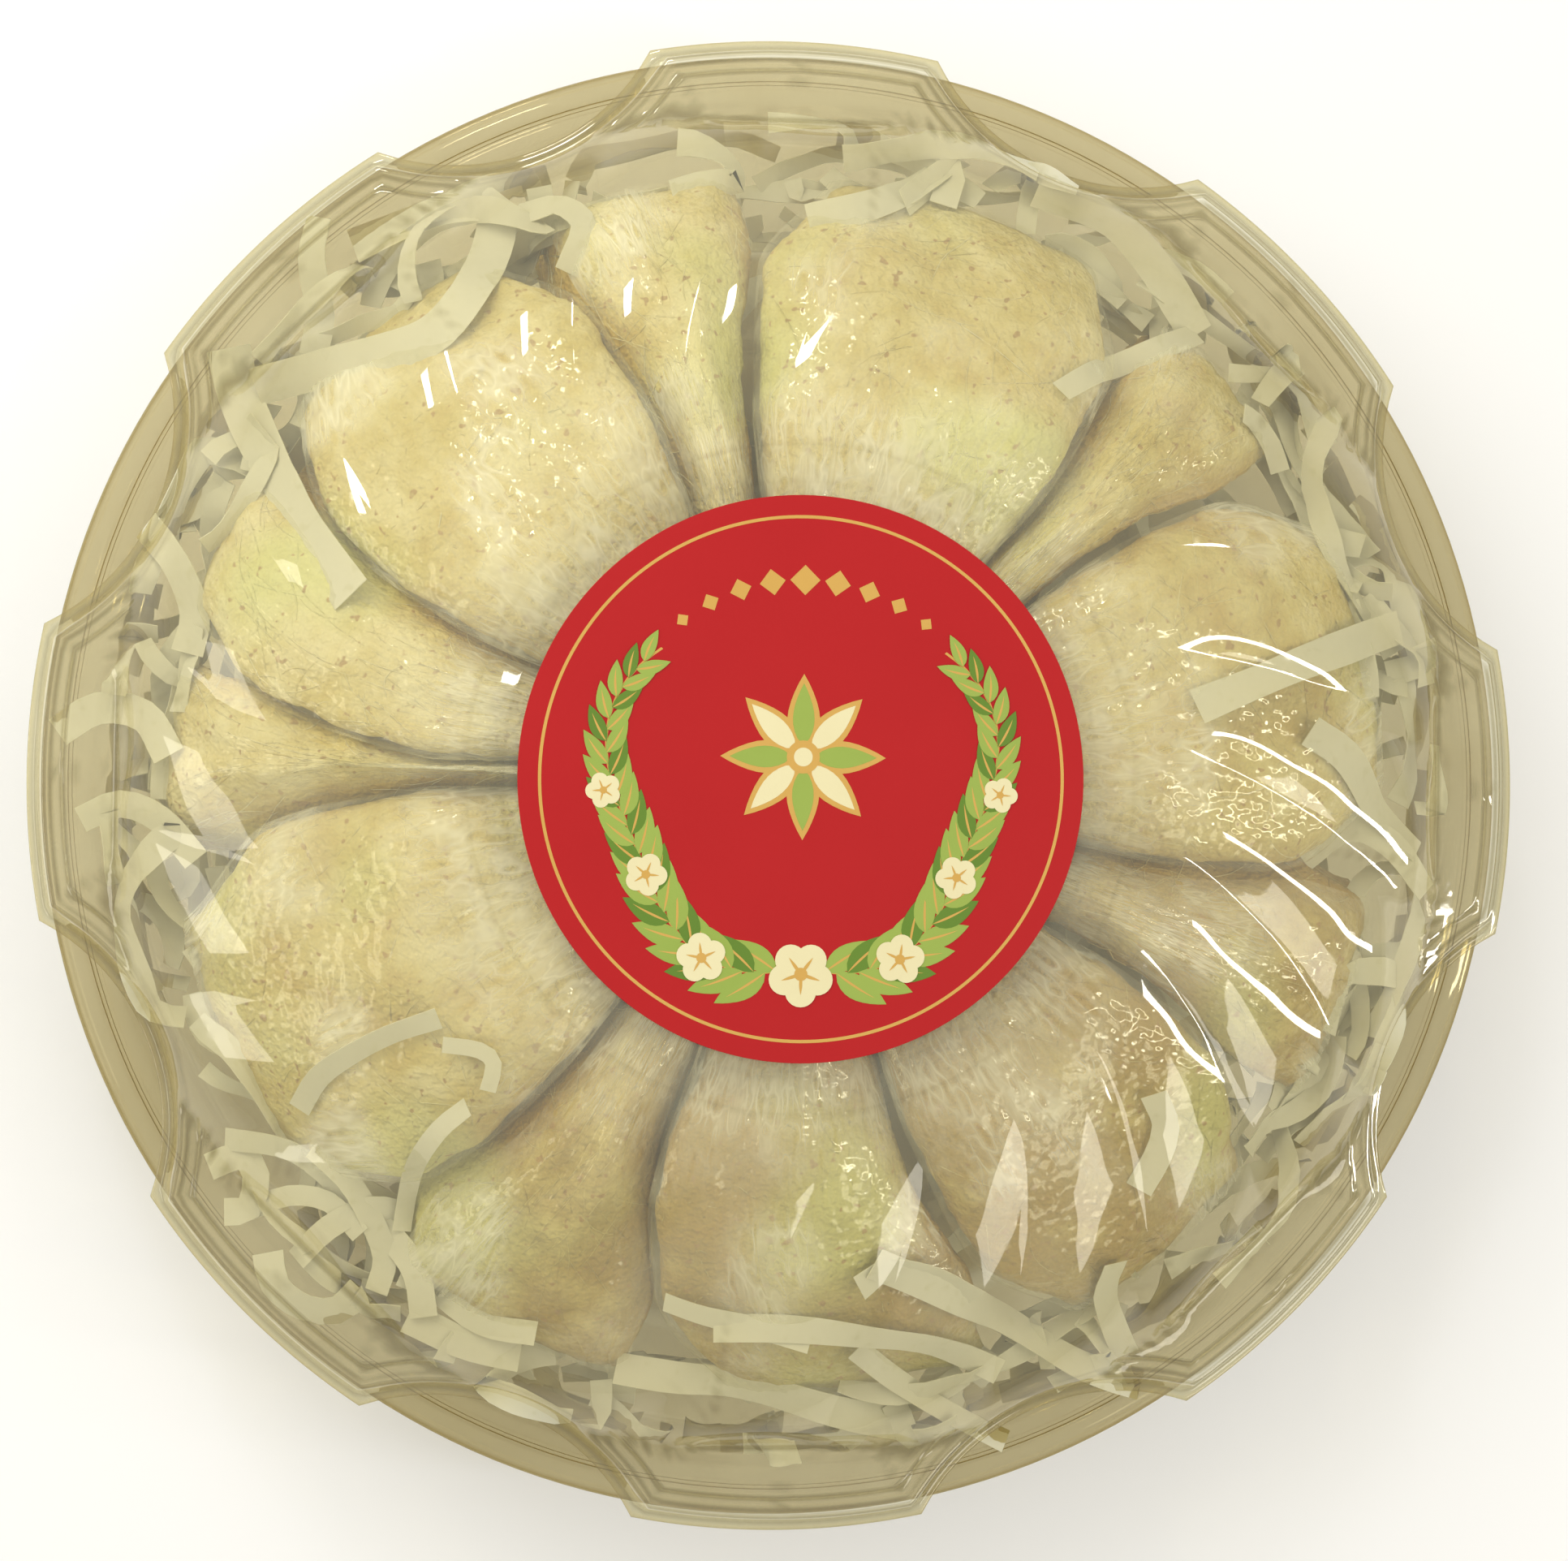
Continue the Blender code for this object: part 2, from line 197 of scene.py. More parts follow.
PLASTIC_SHINE = 0.085           # both faces of the sheet together
FILM_SHINE = 0.085              # both faces of the film together
FILM_GRAZING_SHINE = 0.35
SCHLICK_POWER = 5.0             # how fast the reflected share climbs towards grazing
PLEAT_WIDTH = 0.16              # noise this near its middle value makes a pleat
SHADOW_SHARE = 0.93             # light that a clear skin lets through, before its tint


class Shader:
    """A material's node tree, built a node at a time."""

    def __init__(self, name):
        self.material = bpy.data.materials.new(name)
        self.material.use_nodes = True
        self.tree = self.material.node_tree
        self.tree.nodes.clear()
        self.output = self.tree.nodes.new("ShaderNodeOutputMaterial")
        self.place = self.add("ShaderNodeTexCoord").outputs["Object"]

    def add(self, kind, inputs=None, **settings):
        made = self.tree.nodes.new(kind)
        for key, value in settings.items():
            setattr(made, key, value)
        for key, value in (inputs or {}).items():
            self.feed(made.inputs[key], value)
        return made

    def feed(self, socket, value):
        if isinstance(value, bpy.types.NodeSocket):
            self.tree.links.new(value, socket)
        else:
            socket.default_value = value

    def noise(self, scale, detail=3.0):
        """Noise from 0 to 1; scale is in features per metre."""
        return self.add("ShaderNodeTexNoise", {
            "Vector": self.place, "Scale": scale, "Detail": detail,
            "Roughness": 0.55}).outputs["Fac"]

    def ramp(self, value, stops):
        made = self.add("ShaderNodeValToRGB", {"Fac": value})
        elements = made.color_ramp.elements
        while len(elements) < len(stops):
            elements.new(0.5)
        for element, (position, colour) in zip(elements, stops):
            element.position = position
            element.color = (*colour, 1.0)
        return made.outputs["Color"]

    def mix(self, share, low, high):
        """Mix two colours."""
        made = self.add("ShaderNodeMix", data_type="RGBA")
        for socket, value in ((0, share), (6, low), (7, high)):
            if isinstance(value, tuple) and len(value) == 3:
                value = (*value, 1.0)
            self.feed(made.inputs[socket], value)
        return made.outputs[2]

    def span(self, value, low, high):
        """Map 0..1 onto low..high."""
        return self.add("ShaderNodeMapRange", {
            "Value": value, "To Min": low, "To Max": high}).outputs["Result"]

    def step(self, value, low, high, to_low=0.0, to_high=1.0):
        """Map low..high onto to_low..to_high, and hold beyond."""
        return self.add("ShaderNodeMapRange", {
            "Value": value, "From Min": low, "From Max": high, "To Min": to_low,
            "To Max": to_high}).outputs["Result"]

    def bump(self, height, distance):
        made = self.add("ShaderNodeBump", {"Height": height, "Distance": distance})
        return made.outputs["Normal"]

    def facing(self, normal=None, blend=0.35):
        """0 seen straight on and 1 seen along the surface."""
        inputs = {"Blend": blend} if normal is None else {"Blend": blend, "Normal": normal}
        return self.add("ShaderNodeLayerWeight", inputs).outputs["Facing"]

    def shine(self, normal, straight, grazing_share=1.0):
        """Share of light that a clear skin reflects, the same from both of its sides."""
        facing = self.facing(normal, 0.5)
        return self.span(self.reckon("POWER", facing, SCHLICK_POWER), straight, grazing_share)

    def reckon(self, operation, *values):
        return self.add("ShaderNodeMath", dict(enumerate(values)), operation=operation).outputs[0]

    def times(self, a, b):
        return self.reckon("MULTIPLY", a, b)

    def larger(self, a, b):
        return self.reckon("MAXIMUM", a, b)

    def blend(self, share, first, second):
        """Mix two surfaces, each given as its node."""
        return self.add("ShaderNodeMixShader", {
            0: share, 1: first.outputs[0], 2: second.outputs[0]})

    def pleats(self, over, run, fine, long):
        """Creases between 0 and 1: fine and long are their counts per millimetre each way."""
        place = self.add("ShaderNodeCombineXYZ", {
            0: self.times(over, fine), 1: self.times(run, long)})
        value = self.add("ShaderNodeTexNoise", {
            "Vector": place.outputs[0], "Scale": 1.0, "Detail": 1.0}).outputs["Fac"]
        from_middle = self.reckon("ABSOLUTE", self.reckon("SUBTRACT", value, 0.5))
        return self.step(from_middle, 0.0, PLEAT_WIDTH, 1.0, 0.0)

    def attribute(self, name):
        return self.add("ShaderNodeAttribute", attribute_name=name).outputs["Fac"]

    def finish_clear(self, surface, tint):
        """Finish a clear skin whose shadow is plain tinted light, which is quick to work out."""
        shadow = self.add("ShaderNodeLightPath").outputs["Is Shadow Ray"]
        plain = self.add("ShaderNodeBsdfTransparent", {"Color": (*tint, 1.0)})
        return self.finish(self.blend(shadow, surface, plain))

    def finish(self, surface):
        self.tree.links.new(surface.outputs[0], self.output.inputs["Surface"])
        return self.material


def clear_bsdf(shader, tint, edge_tint, facing):
    """Straight-through light, tinted more where the sheet is steep or cut, with painted shade along
    bends.

    The attribute crease is 1 along a bend, where a painted dark line stands for the light that the
    bent sheet refracts away, and on the tray it also paints the flange darker as painted shade.
    The attribute rim is 1 along the cut edge.
    """
    steep = shader.mix(shader.step(facing, 0.25, 1.0), tint, edge_tint)
    edged = shader.mix(shader.attribute("rim"), steep, edge_tint)
    # Painted shade: a darker tint along the sheet's bends.
    painted_bend_shade = tuple(0.8 * part for part in edge_tint)
    through = shader.mix(shader.attribute("crease"), edged, painted_bend_shade)
    return shader.add("ShaderNodeBsdfTransparent", {"Color": through})


def clear_plastic(name, tint, edge_tint, roughness, ripple, scuffs, haze):
    """Thin clear sheet: tinted light goes straight through it, and its skin reflects."""
    shader = Shader(name)
    waves = shader.noise(60.0, 1.0)
    normal = shader.bump(waves, ripple)
    facing = shader.facing(normal)
    clear = clear_bsdf(shader, shader.mix(waves, tint, tuple(0.96 * part for part in tint)),
                       edge_tint, facing)
    scuff = shader.step(shader.noise(420.0, 1.0), 0.62, 0.78, roughness, scuffs)
    gloss = shader.add("ShaderNodeBsdfGlossy", {
        "Color": (1.0, 0.985, 0.93, 1.0), "Roughness": scuff, "Normal": normal})
    milk = shader.add("ShaderNodeBsdfDiffuse", {"Color": (1.0, 0.96, 0.66, 1.0)})
    hazy = shader.blend(shader.step(waves, 0.3, 0.7, 0.6 * haze, 1.4 * haze), clear, milk)
    both = shader.blend(shader.shine(normal, PLASTIC_SHINE), hazy, gloss)
    return shader.finish_clear(both, tuple((SHADOW_SHARE - haze) * part for part in tint))


def clear_inside(name, tint, edge_tint):
    """The inner face of a clear sheet: only its tint, as the outer face has the shine of both."""
    shader = Shader(name)
    return shader.finish(clear_bsdf(shader, tint, edge_tint, shader.facing()))


def cling_film(name):
    """Film drawn tight into creases: clear, with glints, and white where it is crumpled.

    The attribute gather is 1 where the film is bunched up, and a painted highlight raises it
    towards the upper left.
    """
    shader = Shader(name)
    over, run = shader.attribute("crosswise"), shader.attribute("lengthwise")
    gather = shader.attribute("gather")
    pleats = shader.pleats(over, run, 0.42, 0.05)
    crumple = shader.larger(shader.pleats(over, run, 0.45, 0.20), shader.times(pleats, 0.8))
    folds = shader.larger(pleats, shader.times(crumple, gather))
    normal = shader.bump(shader.noise(700.0, 0.0), 0.0003)
    clear = shader.add("ShaderNodeBsdfTransparent", {
        "Color": shader.mix(folds, (0.985, 0.98, 0.94), (0.95, 0.945, 0.88))})
    gloss = shader.add("ShaderNodeBsdfGlossy", {
        "Color": (1.0, 1.0, 0.93, 1.0), "Roughness": shader.span(folds, 0.05, 0.14),
        "Normal": normal})
    skin = shader.blend(shader.shine(normal, FILM_SHINE, FILM_GRAZING_SHINE), clear, gloss)
    white = shader.add("ShaderNodeBsdfDiffuse", {"Color": (1.0, 0.99, 0.86, 1.0)})
    bunched = shader.times(gather, shader.span(crumple, 0.08, 0.8))
    return shader.finish_clear(shader.blend(bunched, skin, white), (0.95, 0.945, 0.90))


# Ramps for the tone attribute; the amber set is for the darker nests, whose tone holds painted
# shade too.
PALE_TONES = ((0.0, (0.62, 0.42, 0.09)), (0.35, (0.63, 0.47, 0.14)),
              (0.65, (0.74, 0.62, 0.26)), (1.0, (0.88, 0.80, 0.50)))
AMBER_TONES = ((0.0, (0.48, 0.31, 0.06)), (0.35, (0.48, 0.34, 0.09)),
               (0.65, (0.66, 0.53, 0.20)), (1.0, (0.78, 0.66, 0.32)))


def nest_matter(name, tones):
    """Dried strands: cream on the crowns, amber down in the clefts as painted shade,
    green-yellow patches, specks.
    """
    shader = Shader(name)
    mottle = shader.noise(240.0, 2.0)
    spots = shader.step(mottle, 0.3, 0.7, -0.16, 0.16)
    clouds = shader.step(shader.noise(75.0, 1.0), 0.35, 0.65, -0.13, 0.13)
    spotted = shader.reckon("ADD", shader.attribute("tone"), spots)
    body = shader.ramp(shader.reckon("ADD", spotted, clouds), tones)
    patches = shader.step(shader.noise(27.0, 1.0), 0.54, 0.68, 0.0, 0.6)
    tinted = shader.mix(patches, body, (0.74, 0.79, 0.31))
    specks = shader.step(shader.noise(620.0, 1.0), 0.665, 0.72, 0.0, 0.75)
    return shader.finish(shader.add("ShaderNodeBsdfPrincipled", {
        "Base Color": shader.mix(specks, tinted, (0.46, 0.27, 0.10)),
        "Roughness": shader.span(mottle, 0.48, 0.72),
        "Normal": shader.bump(shader.noise(1000.0, 1.0), 0.0006)}))


def shred_paper(name):
    """Matt cream-green tissue that lets some light through."""
    shader = Shader(name)
    pulp = shader.noise(520.0, 1.0)
    colour = shader.mix(shader.noise(34.0, 1.0), (0.87, 0.84, 0.62), (0.96, 0.94, 0.78))
    flecked = shader.mix(shader.step(pulp, 0.62, 0.74, 0.0, 0.4), colour, (0.80, 0.77, 0.52))
    normal = shader.bump(pulp, 0.00012)
    skin = shader.add("ShaderNodeBsdfPrincipled", {
        "Base Color": flecked, "Roughness": shader.span(pulp, 0.6, 0.85), "Normal": normal})
    glow = shader.add("ShaderNodeBsdfTranslucent", {"Color": flecked, "Normal": normal})
    return shader.finish(shader.blend(0.3, skin, glow))


def printed(name, colour, shade, roughness=0.38, metal=0.0):
    """Ink on satin paper."""
    shader = Shader(name)
    grain = shader.noise(1500.0, 3.0)
    return shader.finish(shader.add("ShaderNodeBsdfPrincipled", {
        "Base Color": shader.mix(shader.noise(48.0, 4.0), colour, shade),
        "Roughness": shader.span(grain, roughness, roughness + 0.14),
        "Metallic": metal, "Specular IOR Level": 0.28, "Normal": shader.bump(grain, 0.00002)}))


# Mesh pieces

def piece(name, points, faces, finishes, replaced=(), sharp=None, finish_index=None):
    """One mesh object that rides on the body; points are millimetres."""
    mesh = bpy.data.meshes.new(name)
    mesh.from_pydata((np.asarray(points, dtype=float) * MM).tolist(), [], faces)
    for finish in finishes:
        mesh.materials.append(finish)
    if finish_index is not None:
        mesh.polygons.foreach_set("material_index", finish_index)
    mesh.shade_smooth()
    if sharp is not None:
        mesh.set_sharp_from_angle(angle=math.radians(sharp))
    made = bpy.data.objects.new(name, mesh)
    bpy.context.collection.objects.link(made)
    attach(made, ROOT)
    if replaced:
        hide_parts(*replaced)
    return made


def join(points, faces, more_points, more_faces):
    """Add a mesh to another, with its faces renumbered."""
    faces += [tuple(len(points) + k for k in face) for face in more_faces]
    points += more_points


def store(made, name, values):
    """Keep a number for each point, for the material."""
    kept = made.data.attributes.new(name, "FLOAT", "POINT")
    kept.data.foreach_set("value", np.ravel(values).tolist())


def face_outward(made):
    """Turn all faces of a closed mesh outward."""
    build = bmesh.new()
    build.from_mesh(made.data)
    bmesh.ops.recalc_face_normals(build, faces=build.faces)
    build.to_mesh(made.data)
    build.free()


def thicken(made, thickness):
    """Give a sheet its wall, inward of its faces; the inner face takes the second finish."""
    solid = made.modifiers.new("wall", "SOLIDIFY")
    solid.thickness = thickness * MM
    solid.offset = -1.0
    solid.use_rim = True
    solid.material_offset = 1


def ring_points(profile, sides):
    """Closed rings of points, one for each (radius, height) of a profile."""
    return [polar(radius, 360.0 / sides * k, height) for radius, height in profile
            for k in range(sides)]


def ring_faces(rings, columns, first=0):
    """Quads between closed rings of points laid out one after another, inner ring first."""
    faces = []
    for ring in range(rings - 1):
        low = first + ring * columns
        for k in range(columns):
            after = (k + 1) % columns
            faces.append((low + k, low + columns + k, low + columns + after, low + after))
    return faces


def grid_faces(rows, columns):
    """Quads of an open grid of points."""
    return [(j * columns + k, (j + 1) * columns + k, (j + 1) * columns + k + 1, j * columns + k + 1)
            for j in range(rows - 1) for k in range(columns - 1)]


# The lid's form

SCALLOP_CHORD = LID_RADIUS * math.sin(math.radians(SCALLOP_HALF))
SCALLOP_SAG = SCALLOP_DEPTH - LID_RADIUS * (1.0 - math.cos(math.radians(SCALLOP_HALF)))
SCALLOP_ARC = (SCALLOP_CHORD ** 2 + SCALLOP_SAG ** 2) / (2.0 * SCALLOP_SAG)
SCALLOP_CENTRE = LID_RADIUS - SCALLOP_DEPTH + SCALLOP_ARC


def from_lobe(angle):
    """Angle from the middle of the nearest lobe, whose middles are at 0, 45, 90 and so on."""
    return (angle + LOBE_PERIOD / 2) % LOBE_PERIOD - LOBE_PERIOD / 2


def from_scallop(angle):
    return angle % LOBE_PERIOD - LOBE_PERIOD / 2


def rim_radius(angle):
    """The lid's outline: a circle with eight round bites."""
    off = math.radians(from_scallop(angle))
    if abs(off) >= math.radians(SCALLOP_HALF) - 1e-9:
        return LID_RADIUS
    across = SCALLOP_CENTRE * math.sin(off)
    return SCALLOP_CENTRE * math.cos(off) - math.sqrt(SCALLOP_ARC ** 2 - across ** 2)


def rim_distance(radius, angle):
    """Distance inward from the outline."""
    off = math.radians(from_scallop(angle))
    to_centre = math.hypot(radius * math.cos(off) - SCALLOP_CENTRE, radius * math.sin(off))
    return max(0.0, min(LID_RADIUS - radius, to_centre - SCALLOP_ARC))


def radius_inward(angle, inward):
    """Radius at which the lid is that far inward from its outline."""
    low, high = RIDGE_RADIUS, rim_radius(angle)
    for _ in range(18):
        middle = (low + high) / 2
        if rim_distance(middle, angle) > inward:
            low = middle
        else:
            high = middle
    return high if inward == 0.0 else low


def dome_share(radius):
    return clamp((radius - RIDGE_RADIUS) / DOME_SPAN)


def dome_height(radius, angle):
    """The fluted dome, before the rim and the facets cut it."""
    share = dome_share(radius)
    rise = RIDGE_Z - DOME_FOOT_Z
    height = DOME_FOOT_Z + rise * (1.0 - share ** DOME_INNER_POWER) ** DOME_OUTER_POWER
    turned = (angle + SWIRL * share) * FLUTES / 360.0
    from_crest = 2.0 * (turned - round(turned))
    return height - FLUTE_DEPTH * smooth(0.0, 0.4, share) * from_crest ** 2


def lid_height(radius, angle):
    """Top surface of the lid outside the ring round the label."""
    inward = rim_distance(radius, angle)
    wall = soft_max(LIP_Z, LIP_Z + LIP_WALL_SLOPE * (inward - LIP_WIDTH), 0.7)
    ledge = LEDGE_Z + LEDGE_STEP * smooth(LEDGE_STEP_IN - 0.6, LEDGE_STEP_IN, inward)
    along = radius * math.cos(math.radians(from_lobe(angle)))
    facet = LEDGE_Z + LEDGE_STEP + FACET_SLOPE * (FACET_CHORD - along)
    dome = soft_min(dome_height(radius, angle), soft_max(facet, ledge, 0.7), 0.5)
    rib = RIB_HEIGHT * smooth(1.3, 0.2, abs(radius * math.radians(from_lobe(angle))))
    rib *= smooth(3.0, 5.4, inward) * smooth(9.8, 7.4, inward)
    return soft_min(wall, soft_max(ledge, dome, 0.6) + rib, 0.8)


def make_lid():
    """The recess, the fluted dome and the rim as rings of one sheet that turn with the flutes."""
    step = 360.0 / LID_COLUMNS
    recess = ((14.0, RECESS_Z), (28.0, RECESS_Z), (38.5, RECESS_Z), (RECESS_RADIUS - 0.4, RECESS_Z),
              (RECESS_RADIUS, RECESS_Z + 0.06), (41.8, RECESS_Z + 0.3), (43.0, RECESS_Z + 0.72),
              (44.5, RECESS_Z + 1.18), (45.4, RECESS_Z + 1.42), (RIDGE_RADIUS - 0.35, RIDGE_Z))
    points = [Vector((0.0, 0.0, RECESS_Z)), *ring_points(recess, LID_COLUMNS)]
    for ring in range(DOME_RINGS):
        part = ring / DOME_RINGS
        for k in range(LID_COLUMNS):
            share = part * (MEAN_RIM - RIM_RINGS[0] - RIDGE_RADIUS) / DOME_SPAN
            angle = step * k - SWIRL * share
            radius = RIDGE_RADIUS + part * (radius_inward(angle, RIM_RINGS[0]) - RIDGE_RADIUS)
            points.append(polar(radius, angle, lid_height(radius, angle)))
    for inward in RIM_RINGS:
        share = clamp((MEAN_RIM - inward - RIDGE_RADIUS) / DOME_SPAN)
        for k in range(LID_COLUMNS):
            angle = step * k - SWIRL * share
            radius = radius_inward(angle, inward)
            points.append(polar(radius, angle, lid_height(radius, angle)))
    rings = len(recess) + DOME_RINGS + len(RIM_RINGS)
    faces = [(0, 1 + k, 1 + (k + 1) % LID_COLUMNS) for k in range(LID_COLUMNS)]
    faces += ring_faces(rings, LID_COLUMNS, 1)
    tints = (0.975, 0.965, 0.91), (0.82, 0.775, 0.58)
    outside = clear_plastic("clear_lid", *tints, roughness=0.035, ripple=0.0005, scuffs=0.16,
                            haze=0.09)
    finishes = [outside, clear_inside("clear_lid_inside", *tints)]
    lid = piece("lid_skin", points, faces, finishes, ("lid",), sharp=50)
    grid = np.array([tuple(p) for p in points[1:]]).reshape(rings, LID_COLUMNS, 3)
    # Painted shade: the bends get a darker tint, kept weaker in the recess and round its ridge.
    bend = bends(grid)
    bend[:len(recess) + 2] *= 0.4
    store(lid, "crease", [0.0] + bend.ravel().tolist())
    store(lid, "rim", [smooth(1.6, 0.0, lid_inward(vertex.co)) for vertex in lid.data.vertices])
    thicken(lid, LID_WALL)


def bends(grid):
    """How sharply a sheet bends across its rings at each point, from 0 to 1."""
    along = np.diff(grid, axis=0)
    along /= np.maximum(np.linalg.norm(along, axis=2, keepdims=True), 1e-6)
    turn = np.zeros(grid.shape[:2])
    turn[1:-1] = np.linalg.norm(np.diff(along, axis=0), axis=2)
    return np.clip((turn - 0.10) / 0.45, 0.0, 1.0)


def lid_inward(place):
    """Distance of a point of the lid's mesh from the lid's outline, or 9 well inside it."""
    radius = math.hypot(place.x, place.y) / MM
    if radius < LID_RADIUS - 4.0 - SCALLOP_DEPTH:
        return 9.0
    return rim_distance(radius, math.degrees(math.atan2(place.y, place.x)) % 360.0)


def rounded(profile, radius, steps=3):
    """A profile with each corner cut into a short arc."""
    made = [profile[0]]
    for before, corner, after in zip(profile, profile[1:], profile[2:]):
        corner = Vector(corner)
        back, ahead = Vector(before) - corner, Vector(after) - corner
        reach = min(radius, 0.45 * back.length, 0.45 * ahead.length)
        start, end = corner + back.normalized() * reach, corner + ahead.normalized() * reach
        for k in range(steps + 1):
            share = k / steps
            made.append(tuple(start.lerp(corner, share).lerp(corner.lerp(end, share), share)))
    return made + [profile[-1]]


def make_tray():
    """Floor on a flat foot ring, a leaning wall and a stepped flange."""
    top = FLANGE_Z - TRAY_WALL
    edge = TRAY_RADIUS - TRAY_WALL
    profile = rounded((
        (20.0, FLOOR_LIFT), (FOOT_INNER - 2.0, FLOOR_LIFT), (FOOT_INNER, 0.0), (FOOT_OUTER, 0.0),
        (FOOT_OUTER + 2.6, 2.6), (TRAY_TOP_OUTER, top - 2.6),
        (TRAY_TOP_OUTER + 1.4, top - 1.0), (101.0, top - 1.0), (101.8, top), (103.6, top),
        (103.9, top - 0.45), (105.2, top - 0.45), (105.5, top), (edge - 1.2, top),
        (edge, top - 2.6)), 0.7)
    points = [Vector((0.0, 0.0, FLOOR_LIFT)), *ring_points(profile, TRAY_SIDES)]
    faces = [(0, 1 + (k + 1) % TRAY_SIDES, 1 + k) for k in range(TRAY_SIDES)]
    faces += [face[::-1] for face in ring_faces(len(profile), TRAY_SIDES, 1)]
    tints = (0.92, 0.885, 0.74), (0.62, 0.53, 0.30)
    outside = clear_plastic("clear_tray", *tints, roughness=0.05, ripple=0.0004, scuffs=0.16,
                            haze=0.06)
    finishes = [outside, clear_inside("clear_tray_inside", *tints)]
    tray = piece("tray_skin", points, faces, finishes, ("tray",), sharp=50)
    grid = np.array([tuple(p) for p in points[1:]]).reshape(len(profile), TRAY_SIDES, 3)
    # Painted shade: the whole flange is tinted darker, and the bends a little darker.
    flange = np.where(np.hypot(grid[..., 0], grid[..., 1]) > TRAY_TOP_OUTER, 0.32, 0.0)
    store(tray, "crease", [0.0] + np.maximum(0.2 * bends(grid), flange).ravel().tolist())
    store(tray, "rim", [smooth(*TRAY_RIM, math.hypot(vertex.co.x, vertex.co.y) / MM)
                        for vertex in tray.data.vertices])
    thicken(tray, TRAY_WALL)


# The label

def shape_faces(outline, base, height, points, faces):
    """Add a thin flat shape: its top, and its edge down to the base."""
    first, count = len(points), len(outline)
    area = sum(a[0] * b[1] - b[0] * a[1] for a, b in zip(outline, outline[1:] + outline[:1]))
    if area < 0:
        outline = outline[::-1]
    points += [Vector((x, y, base + height)) for x, y in outline]
    points += [Vector((x, y, base)) for x, y in outline]
    faces.append(tuple(range(first, first + count)))
    faces += ring_faces(2, count, first)


def ring_shape(inner, outer, base, height, points, faces, sides=180):
    """Add a thin flat ring."""
    first = len(points)
    profile = ((inner, base), (inner, base + height), (outer, base + height), (outer, base))
    points += ring_points(profile, sides)
    faces += ring_faces(len(profile), sides, first)


def leaf_outline(foot, direction, length, width, bend=0.0, steps=9):
    """A pointed leaf that curves to one side."""
    turn = math.radians(direction)
    ahead = Vector((math.cos(turn), math.sin(turn)))
    aside = Vector((-ahead.y, ahead.x))
    left, right = [], []
    for k in range(steps + 1):
        share = k / steps
        middle = Vector(foot) + ahead * (length * share) + aside * (bend * share * share)
        half = width / 2 * math.sin(math.pi * share ** 0.8) ** 0.9 if 0 < k < steps else 0.0
        left.append(tuple(middle + aside * half))
        if 0 < k < steps:
            right.append(tuple(middle - aside * half))
    return [left[0], *right, left[-1], *left[-2:0:-1]]


def disc_outline(centre, radius, sides=24, turn=0.0):
    turns = [math.radians(turn + 360.0 * k / sides) for k in range(sides)]
    return [(centre[0] + radius * math.cos(turn), centre[1] + radius * math.sin(turn))
            for turn in turns]


class Print:
    """Thin flat printed shapes, collected by ink."""

    def __init__(self, inks):
        self.inks = inks
        self.shapes = {ink: ([], []) for ink in inks}

    def shape(self, ink, outline, height):
        shape_faces(outline, LABEL_TOP_Z, height, *self.shapes[ink])

    def make(self):
        points, faces, index = [], [], []
        for number, (own_points, own_faces) in enumerate(self.shapes.values()):
            join(points, faces, own_points, own_faces)
            index += [number] * len(own_faces)
        piece("label_print", points, faces, list(self.inks.values()), sharp=20,
              finish_index=index)


def make_label():
    """A red satin disc with a gold line round it and a plain wreath and rosette."""
    profile = ((LABEL_RADIUS - 0.08, LABEL_BOTTOM_Z), (LABEL_RADIUS, LABEL_BOTTOM_Z + 0.05),
               (LABEL_RADIUS, LABEL_TOP_Z - 0.05), (LABEL_RADIUS - 0.06, LABEL_TOP_Z),
               (LABEL_RADIUS - 3.0, LABEL_TOP_Z))
    points = ring_points(profile, LABEL_SIDES)
    faces = [face[::-1] for face in ring_faces(len(profile), LABEL_SIDES)]
    faces.append(tuple(range(LABEL_SIDES))[::-1])
    faces.append(tuple(range((len(profile) - 1) * LABEL_SIDES, len(profile) * LABEL_SIDES)))
    red = printed("label_red", (0.46, 0.010, 0.012), (0.41, 0.007, 0.009))
    label = piece("label_disc", points, faces, [red], ("label",), sharp=30)
    face_outward(label)
    ornament = Print({
        "gold": printed("label_gold", (0.72, 0.44, 0.12), (0.62, 0.36, 0.08), 0.30, 0.25),
        "dark_green": printed("label_dark_green", (0.10, 0.19, 0.025), (0.14, 0.25, 0.03)),
        "green": printed("label_green", (0.26, 0.36, 0.06), (0.34, 0.44, 0.09)),
        "cream": printed("label_cream", (0.80, 0.74, 0.46), (0.72, 0.64, 0.36)),
    })
    ring_shape(*GOLD_LINE, LABEL_TOP_Z, INK, *ornament.shapes["gold"])
    for side in (-1.0, 1.0):
        print_spray(ornament, side)
    for angle, radius, size in BLOSSOMS:
        print_blossom(ornament, polar(radius, angle, 0.0), angle, size)
    print_rosette(ornament)
    for k in range(-4, 5):
        spot = polar(27.5, 90.0 + 9.5 * k, 0.0)
        lozenge = disc_outline((spot.x, spot.y), 2.1 - 0.28 * abs(k), 4, 90.0 + 9.5 * k)
        ornament.shape("gold", lozenge, INK)
    ornament.make()


